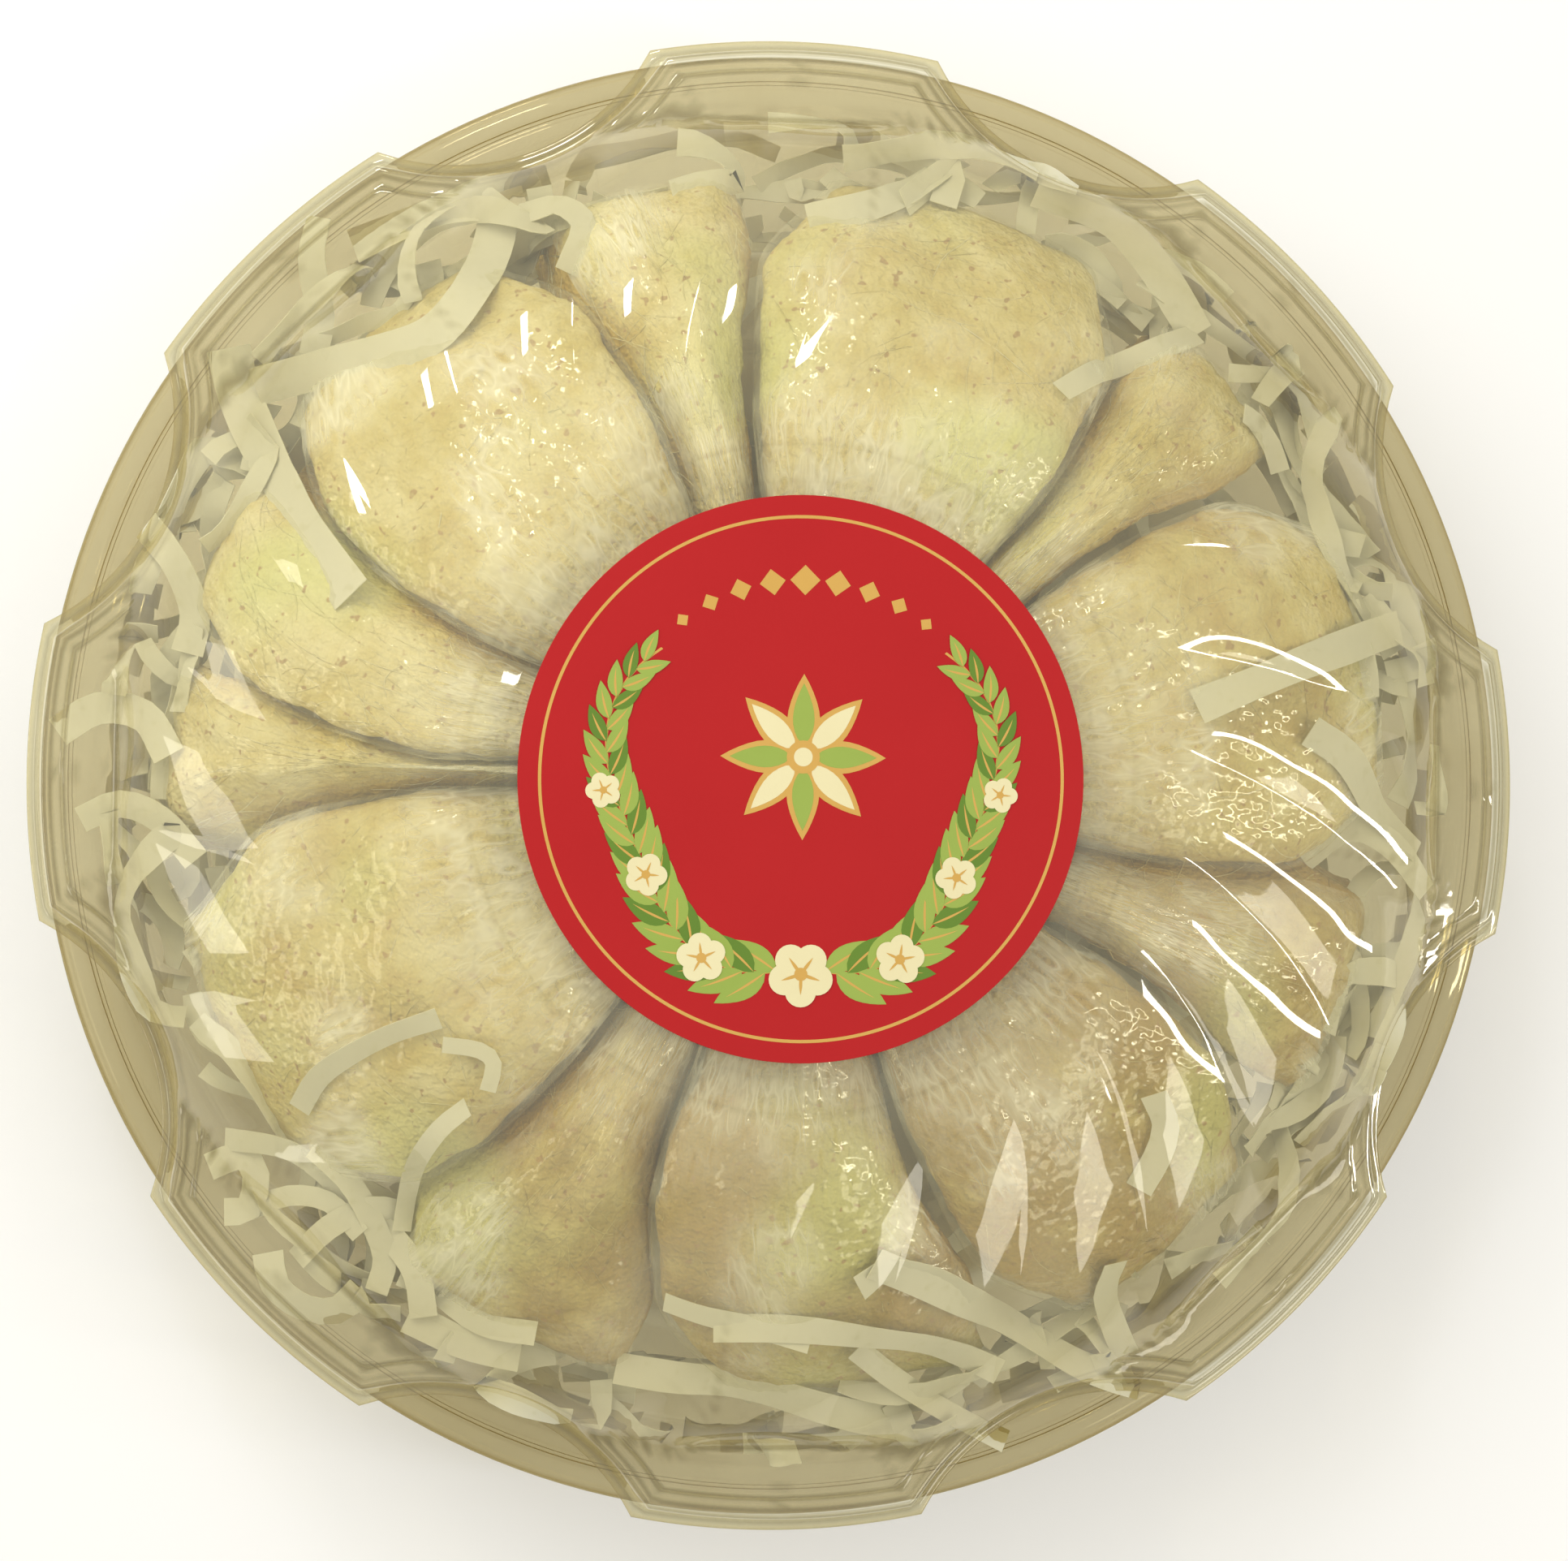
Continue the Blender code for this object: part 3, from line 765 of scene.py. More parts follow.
def print_spray(ornament, side):
    """Half of the wreath, from the foot of the label up one side."""
    stem = []
    for k in range(SPRAY_NODES + 1):
        share = k / SPRAY_NODES
        stem.append(polar(26.5 + 1.6 * math.sin(share * math.pi * 3.0),
                          270.0 + side * (4.0 + 128.0 * share), 0.0))
    band = [(p.x * (1 + width / p.length), p.y * (1 + width / p.length))
            for width, row in ((0.18, stem), (-0.18, stem[::-1])) for p in row]
    ornament.shape("gold", band, INK)
    for k in range(1, SPRAY_NODES - 1):
        at = stem[k]
        outward = k % 2 == 0
        along = math.degrees(math.atan2(stem[k + 1].y - at.y, stem[k + 1].x - at.x))
        direction = along + (-38.0 if outward else 42.0) * side
        size = 1.0 - 0.45 * k / (SPRAY_NODES - 1)
        bend = 0.9 * side if outward else -0.9 * side
        height = INK + 0.003 * k
        ornament.shape("dark_green" if k % 3 == 0 else "green",
                       leaf_outline((at.x, at.y), direction, 8.4 * size, 3.5 * size, bend), height)
        ornament.shape("gold", leaf_outline((at.x, at.y), direction, 6.6 * size, 0.32, 0.65 * bend),
                       height + 0.0015)


def print_blossom(ornament, centre, angle, size):
    """Five round petals, each with a gold vein, and a gold eye."""
    for petal in range(5):
        turn = angle + 72.0 * petal
        out = polar(0.52 * size, turn, 0.0)
        ornament.shape("cream", disc_outline((centre.x + out.x, centre.y + out.y), 0.47 * size),
                       0.155 + 0.004 * petal)
        ornament.shape("gold", leaf_outline((centre.x, centre.y), turn, 0.62 * size, 0.10 * size),
                       0.18 + 0.002 * petal)
    ornament.shape("gold", disc_outline((centre.x, centre.y), 0.2 * size), 0.195)


def print_rosette(ornament):
    """Eight petals with gold edges round a gold and cream eye."""
    for petal in range(8):
        turn = 45.0 * petal
        foot = Vector((0.0, ROSETTE_Y, 0.0)) + polar(1.6, turn, 0.0)
        ornament.shape("gold", leaf_outline((0.0, ROSETTE_Y), turn, 11.5, 4.6),
                       INK + 0.003 * (petal % 2))
        ornament.shape("cream" if petal % 2 else "green",
                       leaf_outline((foot.x, foot.y), turn, 8.6, 3.0), 0.05)
    ornament.shape("gold", disc_outline((0.0, ROSETTE_Y), 2.3, 32), 0.07)
    ornament.shape("cream", disc_outline((0.0, ROSETTE_Y), 1.3, 32), 0.09)


# The nests

def cleft_angle(index, height):
    """Direction of a cleft at a height: each leans a little to one side."""
    turns, which = divmod(index, len(CLEFTS))
    overhang = NEST_OVERHANGS[which] * smooth(36.0, NEST_TOP_Z, height)
    return CLEFTS[which] + 360.0 * turns + NEST_LEANS[which] * (height - 30.0) / 30.0 + overhang


def nest_ceiling(radius):
    """How high a nest may reach under the dome."""
    share = clamp((radius - RIDGE_RADIUS) / (95.0 - RIDGE_RADIUS))
    return NEST_TOP_Z - 17.5 * share ** 2.0


def nest_point(index, along, across, height_share, inset):
    """A point on a nest's shell, as in the part's source, with the outer end rounded."""
    foot_outer = NEST_OUTER - NEST_END_LEAN
    outer = foot_outer + (NEST_OUTER - foot_outer) * smooth(0.0, 0.55, height_share)
    inner = NEST_INNER + 1.5 * inset
    radius = inner + (outer - inset - inner) * along
    middle = (NEST_INNER + NEST_OUTER) / 2
    end = 1.0 - 0.24 * smooth(0.80, 1.0, along)
    lump = NEST_LUMP * noise.noise(Vector((radius / 17.0, across * 1.3, index * 5.7)))
    droop = 5.0 * (1.0 - math.sqrt(1.0 - clamp((along - 0.86) / 0.14) ** 2 * 0.98))
    crown = (nest_ceiling(radius) - 4.0 * abs(radius - middle) / middle - inset + lump
             - NEST_LUMP / 2 - droop)
    height = NEST_FOOT_Z + (crown - NEST_FOOT_Z) * height_share
    low, high = cleft_angle(index, height), cleft_angle(index + 1, height)
    half = math.radians(high - low) / 2 * radius - NEST_GAP
    sideways = across * max(half * end - inset * min(1.0, half / 14.0), 0.35 * half * end)
    return polar(radius, (low + high) / 2 + math.degrees(sideways / radius), height)


def arc_turns(count, start=0.0, end=NEST_ARC_TURN):
    """Turns over the crown that space points evenly along a typical section."""
    dense = [start + (end - start) * k / 400 for k in range(401)]
    places = [Vector(section(turn, 1.0)) for turn in dense]
    run = [0.0]
    for a, b in zip(places, places[1:]):
        run.append(run[-1] + math.hypot((b.x - a.x) * 18.0, (b.y - a.y) * 44.0))
    return np.interp(np.linspace(0.0, run[-1], count), run, dense).tolist()


def section(turn, side):
    """(across, height share) of a point on a nest's section."""
    radians = math.radians(turn)
    lift = math.sin(radians) ** SECTION_LIFT_POWER
    across = math.copysign(abs(math.cos(radians)) ** SECTION_SIDE_POWER,
                           -side * math.cos(radians))
    return across, lift


def grid_normals(grid):
    """Unit normals of a grid of points, away from its hollow side."""
    over = np.cross(np.gradient(grid, axis=0), np.gradient(grid, axis=1))
    over /= np.maximum(np.linalg.norm(over, axis=2, keepdims=True), 1e-9)
    return -over if over[:, grid.shape[1] // 2, 2].mean() < 0 else over


def make_nests():
    """Twelve half cups with their strands and film; returns the grids of their backs."""
    finishes = [nest_matter("nest_strands_pale", PALE_TONES),
                nest_matter("nest_strands_amber", AMBER_TONES)]
    film = cling_film("cling_film")
    back_turns, hollow_turns = arc_turns(NEST_BACK_POINTS), arc_turns(NEST_HOLLOW_POINTS)
    film_turns = arc_turns(FILM_POINTS, *FILM_ARC)
    backs = []
    for index, pale in enumerate(NEST_PALENESS_AND_SHADE):
        side = -1.0 if OPEN_CLOCKWISE[index] else 1.0
        back = np.array([[nest_point(index, j / (NEST_STATIONS - 1), *section(turn, side), 0.0)
                          for turn in back_turns] for j in range(NEST_STATIONS)])
        normals = grid_normals(back)
        bulge = np.array([[matted(point, index) for point in row] for row in back])
        back += normals * bulge[..., None]
        backs.append(back)
        points, faces, tone = nest_shell(index, side, pale, back, bulge, hollow_turns)
        strands, strand_faces, strand_tone = nest_strands(index, back, normals, pale)
        join(points, faces, strands, strand_faces)
        node = f"nest_{index + 1:02d}"
        finish = finishes[0 if pale > 0.5 else 1]
        nest = piece(f"{node}_matter", points, faces, [finish], (node,))
        store(nest, "tone", tone + strand_tone)
        face_outward(nest)
        make_film(index, side, film_turns, film)
    return backs


def nest_shell(index, side, pale, back, bulge, hollow_turns):
    """The closed half cup: rings of its back and its hollow side, and a cap at each end."""
    points, tone = [], []
    loop = NEST_BACK_POINTS + NEST_HOLLOW_POINTS
    for j in range(NEST_STATIONS):
        along = j / (NEST_STATIONS - 1)
        wall = NEST_WALL * min(1.0, 0.35 + along * 1.5)
        points += [tuple(p) for p in back[j]]
        points += [tuple(nest_point(index, along, *section(turn, side), wall))
                   for turn in hollow_turns[::-1]]
        # Painted shade: the deeper a point lies below its row's crown, the darker its tone.
        depths = back[j, :, 2].max() - back[j, :, 2]
        tone += [nest_tone_and_shade(depth, lump, pale) for depth, lump in zip(depths, bulge[j])]
        tone += [0.25 + 0.3 * pale] * NEST_HOLLOW_POINTS
    faces = ring_faces(NEST_STATIONS, loop)
    faces.append(tuple(range(loop)))
    faces.append(tuple(range((NEST_STATIONS - 1) * loop, NEST_STATIONS * loop))[::-1])
    return points, faces, tone


def matted(point, index):
    """Height of the matted surface over the smooth shell."""
    place = Vector(point) + Vector((index * 31.0, 0.0, 0.0))
    return (0.7 * noise.noise(place / 7.5) + 0.3 * noise.noise(place / 2.8)
            + 0.2 * noise.noise(place / 1.2))


def nest_tone_and_shade(depth, bulge, pale):
    """Tone with painted shade: darker amber the deeper a point lies in a cleft, paler on the crown,
    and a little paler on raised lumps.
    """
    return 0.26 + 0.62 * pale - (0.35 + 0.35 * pale) * smooth(1.0, 9.0, depth) + 0.12 * bulge


def on_grid(grid, row, column):
    """The point at a fractional row and column."""
    r, c = int(row), int(column)
    down, over = row - r, column - c
    patch = grid[r:r + 2, c:c + 2]
    return ((patch[0, 0] * (1 - over) + patch[0, 1] * over) * (1 - down)
            + (patch[1, 0] * (1 - over) + patch[1, 1] * over) * down)


def nest_strands(index, back, normals, pale):
    """Fine strands that lie on a nest's back, most of them lengthwise."""
    chance = random.Random(100 + index)
    rows, columns = back.shape[:2]
    points, faces, tone = [], [], []
    for _ in range(STRANDS_PER_NEST):
        j, k = chance.uniform(0, rows - 2), chance.uniform(2, columns - 3)
        heading = chance.gauss(0.0, 0.55) + (math.pi if chance.random() < 0.5 else 0.0)
        bend = chance.gauss(0.0, 0.14)
        width = chance.uniform(0.10, 0.24)
        stride = chance.uniform(1.0, 2.6)
        shade = 0.46 + 0.55 * pale + chance.gauss(0.0, 0.12)
        path = []
        for _ in range(STRAND_STEPS):
            row, column = clamp(j, 0, rows - 1.001), clamp(k, 0, columns - 1.001)
            up = Vector(normals[int(row), int(column)])
            path.append((Vector(on_grid(back, row, column)) + up * STRAND_LIFT, up))
            heading += bend
            j += stride * math.cos(heading)
            k += stride * math.sin(heading) * 1.1
        if (path[-1][0] - path[0][0]).length < STRAND_SHORTEST:
            continue
        tube(path, width, points, faces)
        tone += [shade] * (len(path) * 3)
    return points, faces, tone


def tube(path, width, points, faces):
    """A three-sided strand along a path of (point, up) pairs."""
    first, count = len(points), len(path)
    for s, (spot, up) in enumerate(path):
        ahead = path[min(s + 1, count - 1)][0] - path[max(s - 1, 0)][0]
        aside = ahead.cross(up).normalized()
        rise = aside.cross(ahead).normalized()
        half = width / 2 * (1.0 if 0 < s < count - 1 else 0.35)
        corners = spot + aside * half, spot + rise * half * 0.7, spot - aside * half
        points += [tuple(corner) for corner in corners]
    faces += ring_faces(count, 3, first)
    last = first + 3 * (count - 1)
    faces.append((first, first + 1, first + 2))
    faces.append((last + 2, last + 1, last))


def make_film(index, side, turns, finish):
    """The cling film round one nest: a skin just clear of it, drawn into creases."""
    grid = np.array([[nest_point(index, j / (FILM_STATIONS - 1), *section(turn, side),
                                 -FILM_CLEARANCE)
                      for turn in turns] for j in range(FILM_STATIONS)])
    normals = grid_normals(grid)
    lift = np.zeros(grid.shape[:2])
    for j in range(FILM_STATIONS):
        along = j / (FILM_STATIONS - 1)
        for k in range(FILM_POINTS):
            lengthwise = crease(along * 5.0, k / 2.6, index)
            run, over = along * FILM_LENGTH, k * 0.9
            slanting = crease((run + over) / 5.5, (run - over) / 26.0, index + 40)
            gathered = crease(along * 3.0, k / 1.7, index + 80) * smooth(0.62, 0.30, along)
            edge = smooth(0.0, 8.0, min(k, FILM_POINTS - 1 - k))
            lift[j, k] = edge * (0.28 * lengthwise + 0.22 * slanting + 0.35 * gathered)
    grid += normals * lift[..., None]
    film = piece(f"film_{index + 1:02d}", grid.reshape(-1, 3),
                 grid_faces(FILM_STATIONS, FILM_POINTS), [finish])
    gather = [[bunching(Vector(grid[j, k]), k, index) for k in range(FILM_POINTS)]
              for j in range(FILM_STATIONS)]
    store(film, "gather", gather)
    run, over = np.meshgrid(np.linspace(0.0, FILM_LENGTH, FILM_STATIONS),
                            np.linspace(0.0, FILM_GIRTH, FILM_POINTS), indexing="ij")
    store(film, "lengthwise", run)
    store(film, "crosswise", over + 100.0 * index)


def bunching(place, k, index):
    """How crumpled the film is at a point: most by the label, in the clefts and in patches;
    more towards the upper left, too, as a painted highlight on the lit side.
    """
    radius = math.hypot(place.x, place.y)
    by_label = 0.8 * smooth(66.0, 44.0, radius)
    by_cleft = 0.28 * smooth(11.0, 2.0, min(k, FILM_POINTS - 1 - k))
    spread = noise.noise(Vector((place.x / 16.0, place.y / 16.0, index * 3.1)))
    patch = 0.9 * smooth(0.0, 0.45, spread)
    broken = 0.55 + 0.45 * smooth(-0.3, 0.3, noise.noise(place / 5.0))
    # Painted highlight: more white crumple towards the upper left, where the light comes from.
    painted_lit_side = 0.75 + 0.25 * smooth(-70.0, 60.0, place.y - place.x)
    return max(by_label, by_cleft, patch) * broken * painted_lit_side


def crease(x, y, seed):
    """Sharp-topped folds between 0 and 1."""
    value = noise.noise(Vector((x, y, seed * 7.3)))
    return (1.0 - min(1.0, abs(value) * 3.2)) ** 2


# The shredded paper

# Strips that the photograph shows, as routes of (x, y) seen from above, each with its width
SHOWN_STRIPS = (
    (3.3, ((-49.8, -33.8), (-56.5, -36.2), (-62.2, -39.3), (-66.9, -42.9), (-69.9, -47.8))),
    (2.3, ((-49.2, -37.5), (-44.1, -38.2), (-42.1, -40.1), (-42.9, -43.9))),
    (2.8, ((-45.7, -46.2), (-49.7, -49.8), (-53.1, -55.2), (-54.8, -61.3), (-55.5, -66.2))),
    (4.0, ((-83.6, -57.2), (-79.0, -55.5), (-76.7, -58.3), (-77.7, -63.0), (-81.2, -63.6))),
    (4.7, ((-74.8, -69.4), (-73.6, -74.0), (-69.5, -77.5), (-64.9, -78.1), (-61.4, -75.2))),
    (3.5, ((-68.2, -53.6), (-63.6, -58.2), (-60.1, -64.0), (-57.9, -70.1), (-59.1, -75.2))),
    (4.0, ((-62.5, -63.0), (-56.7, -67.5), (-53.2, -72.3), (-52.1, -78.6))),
    (3.3, ((-81.3, -53.1), (-75.4, -53.5), (-70.6, -55.0), (-65.9, -58.9), (-63.6, -63.0))),
    (3.0, ((-77.7, -63.6), (-72.0, -61.2), (-66.0, -62.0), (-61.4, -66.6))),
    (3.5, ((-70.7, -70.5), (-66.1, -65.7), (-60.1, -62.8), (-54.3, -63.7))),
    (4.7, ((-54.5, -78.7), (-47.4, -82.2), (-42.8, -83.5), (-38.1, -84.3))),
    (3.5, ((-55.6, -72.5), (-50.9, -74.7), (-43.9, -79.4), (-35.8, -80.2))),
    (4.7, ((-24.1, -86.3), (-14.8, -87.6), (-5.4, -88.8), (7.8, -92.5), (19.9, -95.5))),
    (4.0, ((-10.6, -78.2), (-0.2, -78.5), (10.3, -79.6), (21.2, -81.8), (32.7, -87.0))),
    (4.7, ((12.0, -68.5), (22.9, -73.6), (33.1, -79.1), (45.0, -86.2), (54.8, -89.8))),
    (3.5, ((10.5, -82.2), (16.9, -87.6), (23.4, -92.0), (29.5, -95.6), (34.3, -98.0))),
    (3.0, ((-17.6, -74.6), (-11.8, -76.4), (-4.8, -78.2), (3.4, -80.8))),
    (4.0, ((9.9, -72.1), (14.4, -69.7), (21.5, -71.1), (27.8, -75.0))),
    (4.0, ((51.8, -44.3), (54.0, -49.1), (53.1, -53.9), (51.0, -58.6))),
    (4.0, ((48.3, -69.7), (47.7, -74.7), (50.4, -81.4), (52.3, -85.0))),
    (5.3, ((36.5, 89.1), (42.0, 87.4), (48.2, 84.6), (54.3, 78.1), (58.3, 72.5), (61.2, 68.2))),
    (3.5, ((37.2, 56.1), (43.6, 60.1), (50.1, 63.2), (61.2, 68.2))),
    (2.9, ((66.6, 55.3), (69.3, 54.3), (72.5, 51.4), (74.2, 47.8))),
    (5.3, ((57.1, 11.2), (65.9, 14.9), (73.9, 18.1), (83.9, 21.6), (92.4, 24.6))),
    (4.7, ((75.1, 8.2), (81.4, 4.8), (88.0, -2.2), (95.8, -9.3))),
    (4.2, ((78.1, -10.6), (85.1, -5.8), (91.3, -8.1), (97.1, -15.3))),
    (5.9, ((-64.9, 78.1), (-56.8, 81.6), (-49.8, 83.9), (-43.9, 83.3), (-46.0, 72.7), (-51.5, 64.0),
           (-59.6, 60.6), (-70.2, 58.7), (-78.5, 56.5))),
    (6.4, ((-82.6, 62.3), (-80.8, 55.3), (-76.8, 46.7), (-70.3, 35.7), (-63.1, 25.2))),
    (4.7, ((1.5, 81.8), (8.6, 83.5), (16.1, 87.4), (25.0, 94.1))),
    (4.2, ((15.9, 85.3), (19.8, 89.1), (23.7, 91.6), (22.0, 85.8))),
    (4.2, ((-69.6, 81.5), (-70.7, 75.5), (-69.4, 67.3), (-70.3, 61.2))),
    (4.0, ((-40.4, 83.1), (-34.6, 84.3), (-31.0, 80.2), (-33.3, 73.7))),
    (4.7, ((-94.2, 36.3), (-89.5, 30.5), (-86.7, 23.3), (-87.7, 17.5))),
    (4.7, ((-106.3, 5.8), (-100.6, 9.4), (-93.7, 8.3), (-89.7, 2.5))),
    (4.0, ((-102.6, -6.9), (-97.0, -4.5), (-90.9, -6.8), (-85.8, -12.5))),
)


def smooth_route(route, spacing):
    """A Catmull-Rom curve through the points, sampled about evenly."""
    spots = [Vector(spot) for spot in route]
    ends = [2 * spots[0] - spots[1], *spots, 2 * spots[-1] - spots[-2]]
    made = []
    for a, b, c, d in zip(ends, ends[1:], ends[2:], ends[3:]):
        count = max(2, round((c - b).length / spacing))
        for k in range(count):
            t = k / count
            made.append(0.5 * (2 * b + (c - a) * t + (2 * a - 5 * b + 4 * c - d) * t ** 2
                               + (3 * b - a - 3 * c + d) * t ** 3))
    return made + [ends[-2]]


def strip(path, ups, width, points, faces, thickness=0.14):
    """A paper ribbon of real thickness along a path."""
    first, count = len(points), len(path)
    for s, (spot, up) in enumerate(zip(path, ups)):
        ahead = path[min(s + 1, count - 1)] - path[max(s - 1, 0)]
        aside = ahead.cross(up).normalized() * width / 2
        rise = aside.cross(ahead).normalized() * thickness / 2
        points += [tuple(spot + aside + rise), tuple(spot - aside + rise),
                   tuple(spot - aside - rise), tuple(spot + aside - rise)]
    faces += ring_faces(count, 4, first)
    last = first + 4 * (count - 1)
    faces.append((first, first + 1, first + 2, first + 3))
    faces.append((last + 3, last + 2, last + 1, last))


def under_lid(x, y):
    """Height of the lid's underside over a place."""
    radius = math.hypot(x, y)
    if radius < RIDGE_RADIUS:
        return RECESS_Z - LID_WALL
    return lid_height(min(radius, rim_radius(math.degrees(math.atan2(y, x))) - 1.5),
                      math.degrees(math.atan2(y, x)) % 360.0) - LID_WALL - 0.3


# Loose strips: how many, the range of radius and of height that they start in, and the
# ring and the levels that they stay within
LOOSE_STRIPS = (
    (170, (90.5, 97.0), (28.0, 37.5), (89.0, 98.5), (27.0, 39.5)),
    (90, (20.0, 78.0), (4.6, 8.6), (0.0, 80.0), (4.2, 9.2)),
)
WALL_STRIPS = 60


def make_paper(backs):
    """One mesh of strips: those in the photograph, and the packing round and under the nests."""
    ground = surface_tree(backs)
    points, faces = [], []
    chance = random.Random(7)
    for width, route in SHOWN_STRIPS:
        shown_strip(chance, ground, width, route, points, faces)
    for count, radii, heights, reach, levels in LOOSE_STRIPS:
        for _ in range(count):
            angle = chance.uniform(0.0, 360.0)
            radius, height = chance.uniform(*radii), chance.uniform(*heights)
            loose_strip(chance, radius, angle, height, reach, levels, points, faces)
    for _ in range(WALL_STRIPS):
        angle = chance.uniform(0.0, 360.0)
        height = chance.uniform(8.0, 30.0)
        wall = 82.5 + 8.0 * height / 34.0
        loose_strip(chance, wall, angle, height, (wall - 3.0, wall + 0.5), (5.0, 34.0),
                    points, faces)
    made = piece("paper_shreds", points, faces, [shred_paper("shredded_paper")],
                 ("paper_bed", "paper_ring"))
    made.data.set_sharp_from_angle(angle=math.radians(45))


def shown_strip(chance, ground, width, route, points, faces):
    """A strip along its route, over the nests or the paper and under the lid."""
    path, turns = [], []
    roll = chance.uniform(-0.35, 0.35)
    for s, spot in enumerate(smooth_route(route, 2.0)):
        hit = ground.ray_cast(Vector((spot.x, spot.y, 100.0)), Vector((0, 0, -1)))[0]
        floor = hit.z if hit else 34.0 + 4.0 * noise.noise(Vector((spot.x, spot.y, 3.0)) / 9.0)
        floor = max(floor, 36.0 if math.hypot(spot.x, spot.y) < 97 else 34.0) + 1.5
        height = floor + 0.9 + 0.8 * math.sin(s * 0.5 + roll * 9)
        path.append(Vector((spot.x, spot.y, min(height, under_lid(spot.x, spot.y) - 1.2))))
        turns.append(roll + 0.45 * math.sin(s * 0.23 + roll * 20))
    ups = [sideways_up(path, s, turn) for s, turn in enumerate(turns)]
    strip(relaxed(path), ups, width, points, faces)


def loose_strip(chance, radius, angle, height, reach, levels, points, faces):
    """A curled strip that wanders about a place and stays within a ring and two levels."""
    width = chance.uniform(2.6, 4.4)
    heading = chance.uniform(0.0, 360.0)
    curl = chance.gauss(0.0, 8.0)
    spot = polar(radius, angle, height)
    climb = chance.gauss(0.0, 0.35)
    path = []
    for _ in range(chance.randint(9, 20)):
        path.append(spot.copy())
        spot = spot + polar(2.2, heading, climb)
        heading += curl + chance.gauss(0.0, 6.0)
        climb = 0.85 * climb + chance.gauss(0.0, 0.35)
        out = math.hypot(spot.x, spot.y)
        keep = clamp(out, *reach) / max(out, 1e-6)
        spot = Vector((spot.x * keep, spot.y * keep, clamp(spot.z, *levels)))
    phase = chance.uniform(0.0, 6.3)
    ups = [sideways_up(path, s, 0.9 * math.sin(phase + s * 0.35)) for s in range(len(path))]
    strip(path, ups, width, points, faces)


def sideways_up(path, s, turn):
    """The up direction at a point of a path, rolled about the path."""
    ahead = (path[min(s + 1, len(path) - 1)] - path[max(s - 1, 0)]).normalized()
    if ahead.length < 0.5:
        ahead = Vector((1, 0, 0))
    return Matrix.Rotation(turn, 3, ahead) @ Vector((0, 0, 1))


def relaxed(path):
    """A path with its heights evened out, as stiff paper bridges small dips."""
    for _ in range(3):
        heights = [p.z for p in path]
        for s in range(1, len(path) - 1):
            path[s].z = max(heights[s] - 0.6, (heights[s - 1] + heights[s] + heights[s + 1]) / 3)
    return path


def surface_tree(backs):
    """The tops of the nests, for things that lie on them."""
    points, faces = [], []
    for back in backs:
        rows, columns = back.shape[:2]
        faces += [tuple(len(points) + k for k in face) for face in grid_faces(rows, columns)]
        points += [Vector(p) for p in back.reshape(-1, 3)]
    return BVHTree.FromPolygons(points, faces)


# Camera, light and floor

def place_camera():
    """Look down on the box as the photograph does, leaning and rolled a little."""
    lean = [math.sin(math.radians(turn)) for turn in VIEW_LEAN]
    back = Vector((*lean, 1.0)).normalized()
    right = Vector((0.0, 1.0, 0.0)).cross(back).normalized()
    up = back.cross(right)
    roll = math.radians(VIEW_ROLL)
    across = math.cos(roll) * right + math.sin(roll) * up
    upward = math.cos(roll) * up - math.sin(roll) * right
    data = bpy.data.cameras.new("photo_camera")
    data.lens = LENS
    camera = bpy.data.objects.new("photo_camera", data)
    bpy.context.collection.objects.link(camera)
    place = Matrix.Translation((VIEW_AIM + back * VIEW_DISTANCE) * MM)
    camera.matrix_world = place @ Matrix((across, upward, back)).transposed().to_4x4()
    bpy.context.scene.camera = camera


def softbox(name, azimuth, elevation, distance, width, height, radiance, colour):
    """A rectangular light that faces the box; radiance is its brightness as seen."""
    turn, rise = math.radians(azimuth), math.radians(elevation)
    level = math.cos(rise)
    direction = Vector((math.cos(turn) * level, math.sin(turn) * level, math.sin(rise)))
    data = bpy.data.lights.new(name, "AREA")
    data.shape = "RECTANGLE"
    data.size, data.size_y = width, height
    data.energy = radiance * math.pi * width * height
    data.color = colour
    light = bpy.data.objects.new(name, data)
    bpy.context.collection.objects.link(light)
    light.location = direction * distance + Vector((0.0, 0.0, 0.04))
    light.rotation_mode = "QUATERNION"
    light.rotation_quaternion = (-direction).to_track_quat("-Z", "Y")
    return light


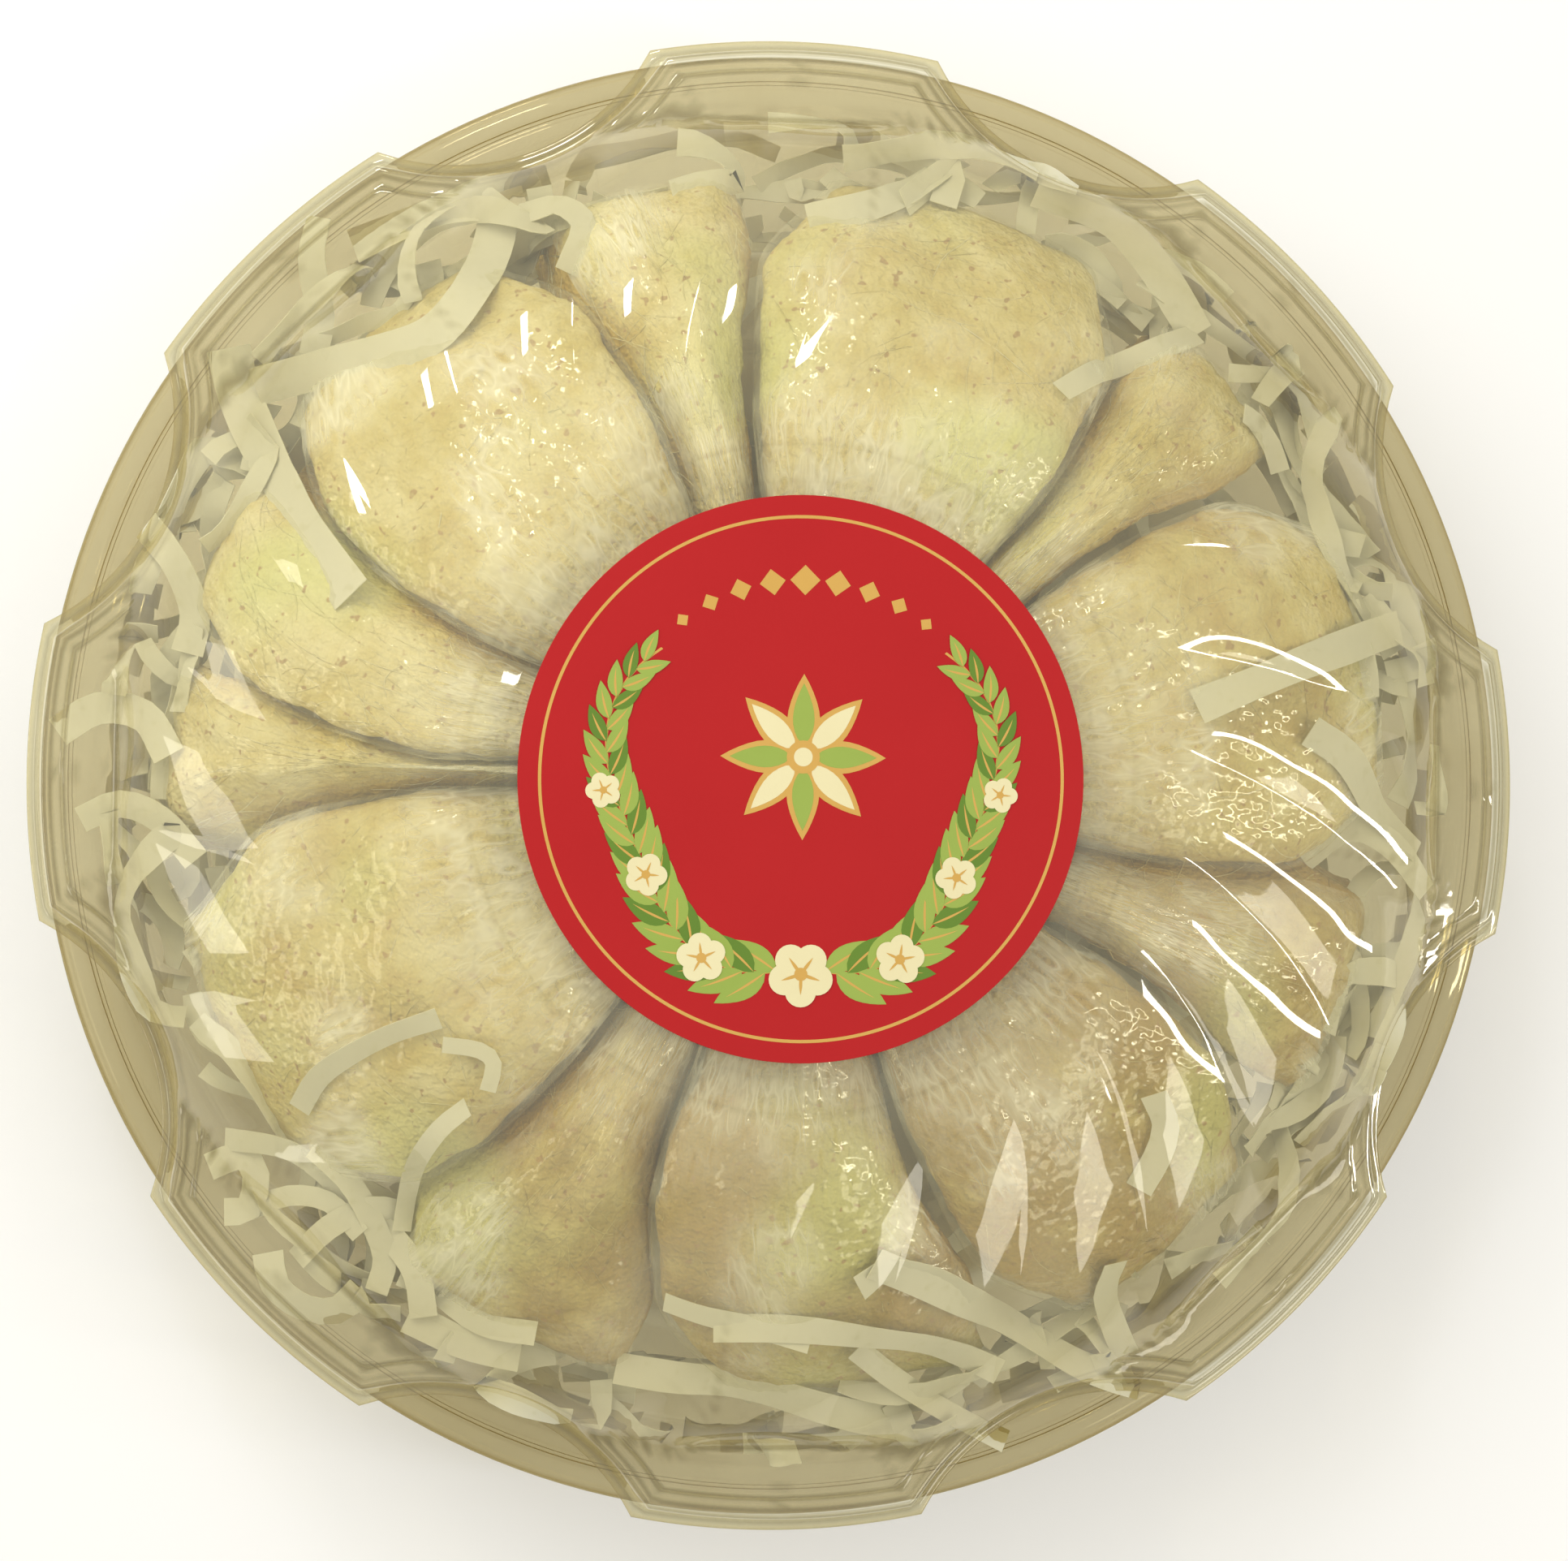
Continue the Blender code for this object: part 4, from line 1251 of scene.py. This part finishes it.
def light_scene():
    """A surround that is brighter on one side, and the lamps."""
    world = bpy.data.worlds.new("studio")
    world.use_nodes = True
    tree = world.node_tree
    background = tree.nodes["Background"]
    background.inputs["Color"].default_value = (1.0, 0.98, 0.93, 1.0)
    direction = tree.nodes.new("ShaderNodeTexCoord").outputs["Generated"]
    facing = tree.nodes.new("ShaderNodeVectorMath")
    facing.operation = "DOT_PRODUCT"
    facing.inputs[1].default_value = BRIGHT_SIDE
    spread = tree.nodes.new("ShaderNodeMapRange")
    spread.inputs["From Min"].default_value = -0.6
    spread.inputs["To Min"].default_value, spread.inputs["To Max"].default_value = WORLD_SPAN
    tree.links.new(direction, facing.inputs[0])
    tree.links.new(facing.outputs["Value"], spread.inputs["Value"])
    tree.links.new(spread.outputs["Result"], background.inputs["Strength"])
    bpy.context.scene.world = world
    for name, lamp in LAMPS.items():
        softbox(name, *lamp).visible_glossy = name != NOT_REFLECTED


def make_floor():
    """A plain pale floor."""
    shader = Shader("studio_floor")
    grain = shader.noise(300.0, 4.0)
    colour = shader.mix(shader.noise(3.0, 2.0), (0.94, 0.94, 0.93), (0.965, 0.965, 0.955))
    skin = shader.add("ShaderNodeBsdfPrincipled", {
        "Base Color": colour, "Roughness": shader.span(grain, 0.75, 0.9),
        "Normal": shader.bump(grain, 0.00005)})
    mesh = bpy.data.meshes.new("studio_floor")
    corners = [(x * FLOOR_HALF, y * FLOOR_HALF, -FLOOR_DROP)
               for x, y in ((-1, -1), (1, -1), (1, 1), (-1, 1))]
    mesh.from_pydata(corners, [], [(0, 1, 2, 3)])
    mesh.materials.append(shader.finish(skin))
    floor = bpy.data.objects.new("studio_floor", mesh)
    bpy.context.collection.objects.link(floor)


place_camera()
light_scene()
make_floor()
make_tray()
make_paper(make_nests())
make_lid()
make_label()

cycles = bpy.context.scene.cycles
cycles.transparent_max_bounces = 24
cycles.max_bounces = cycles.diffuse_bounces = cycles.glossy_bounces = 3
bpy.context.scene.view_settings.view_transform = "Standard"
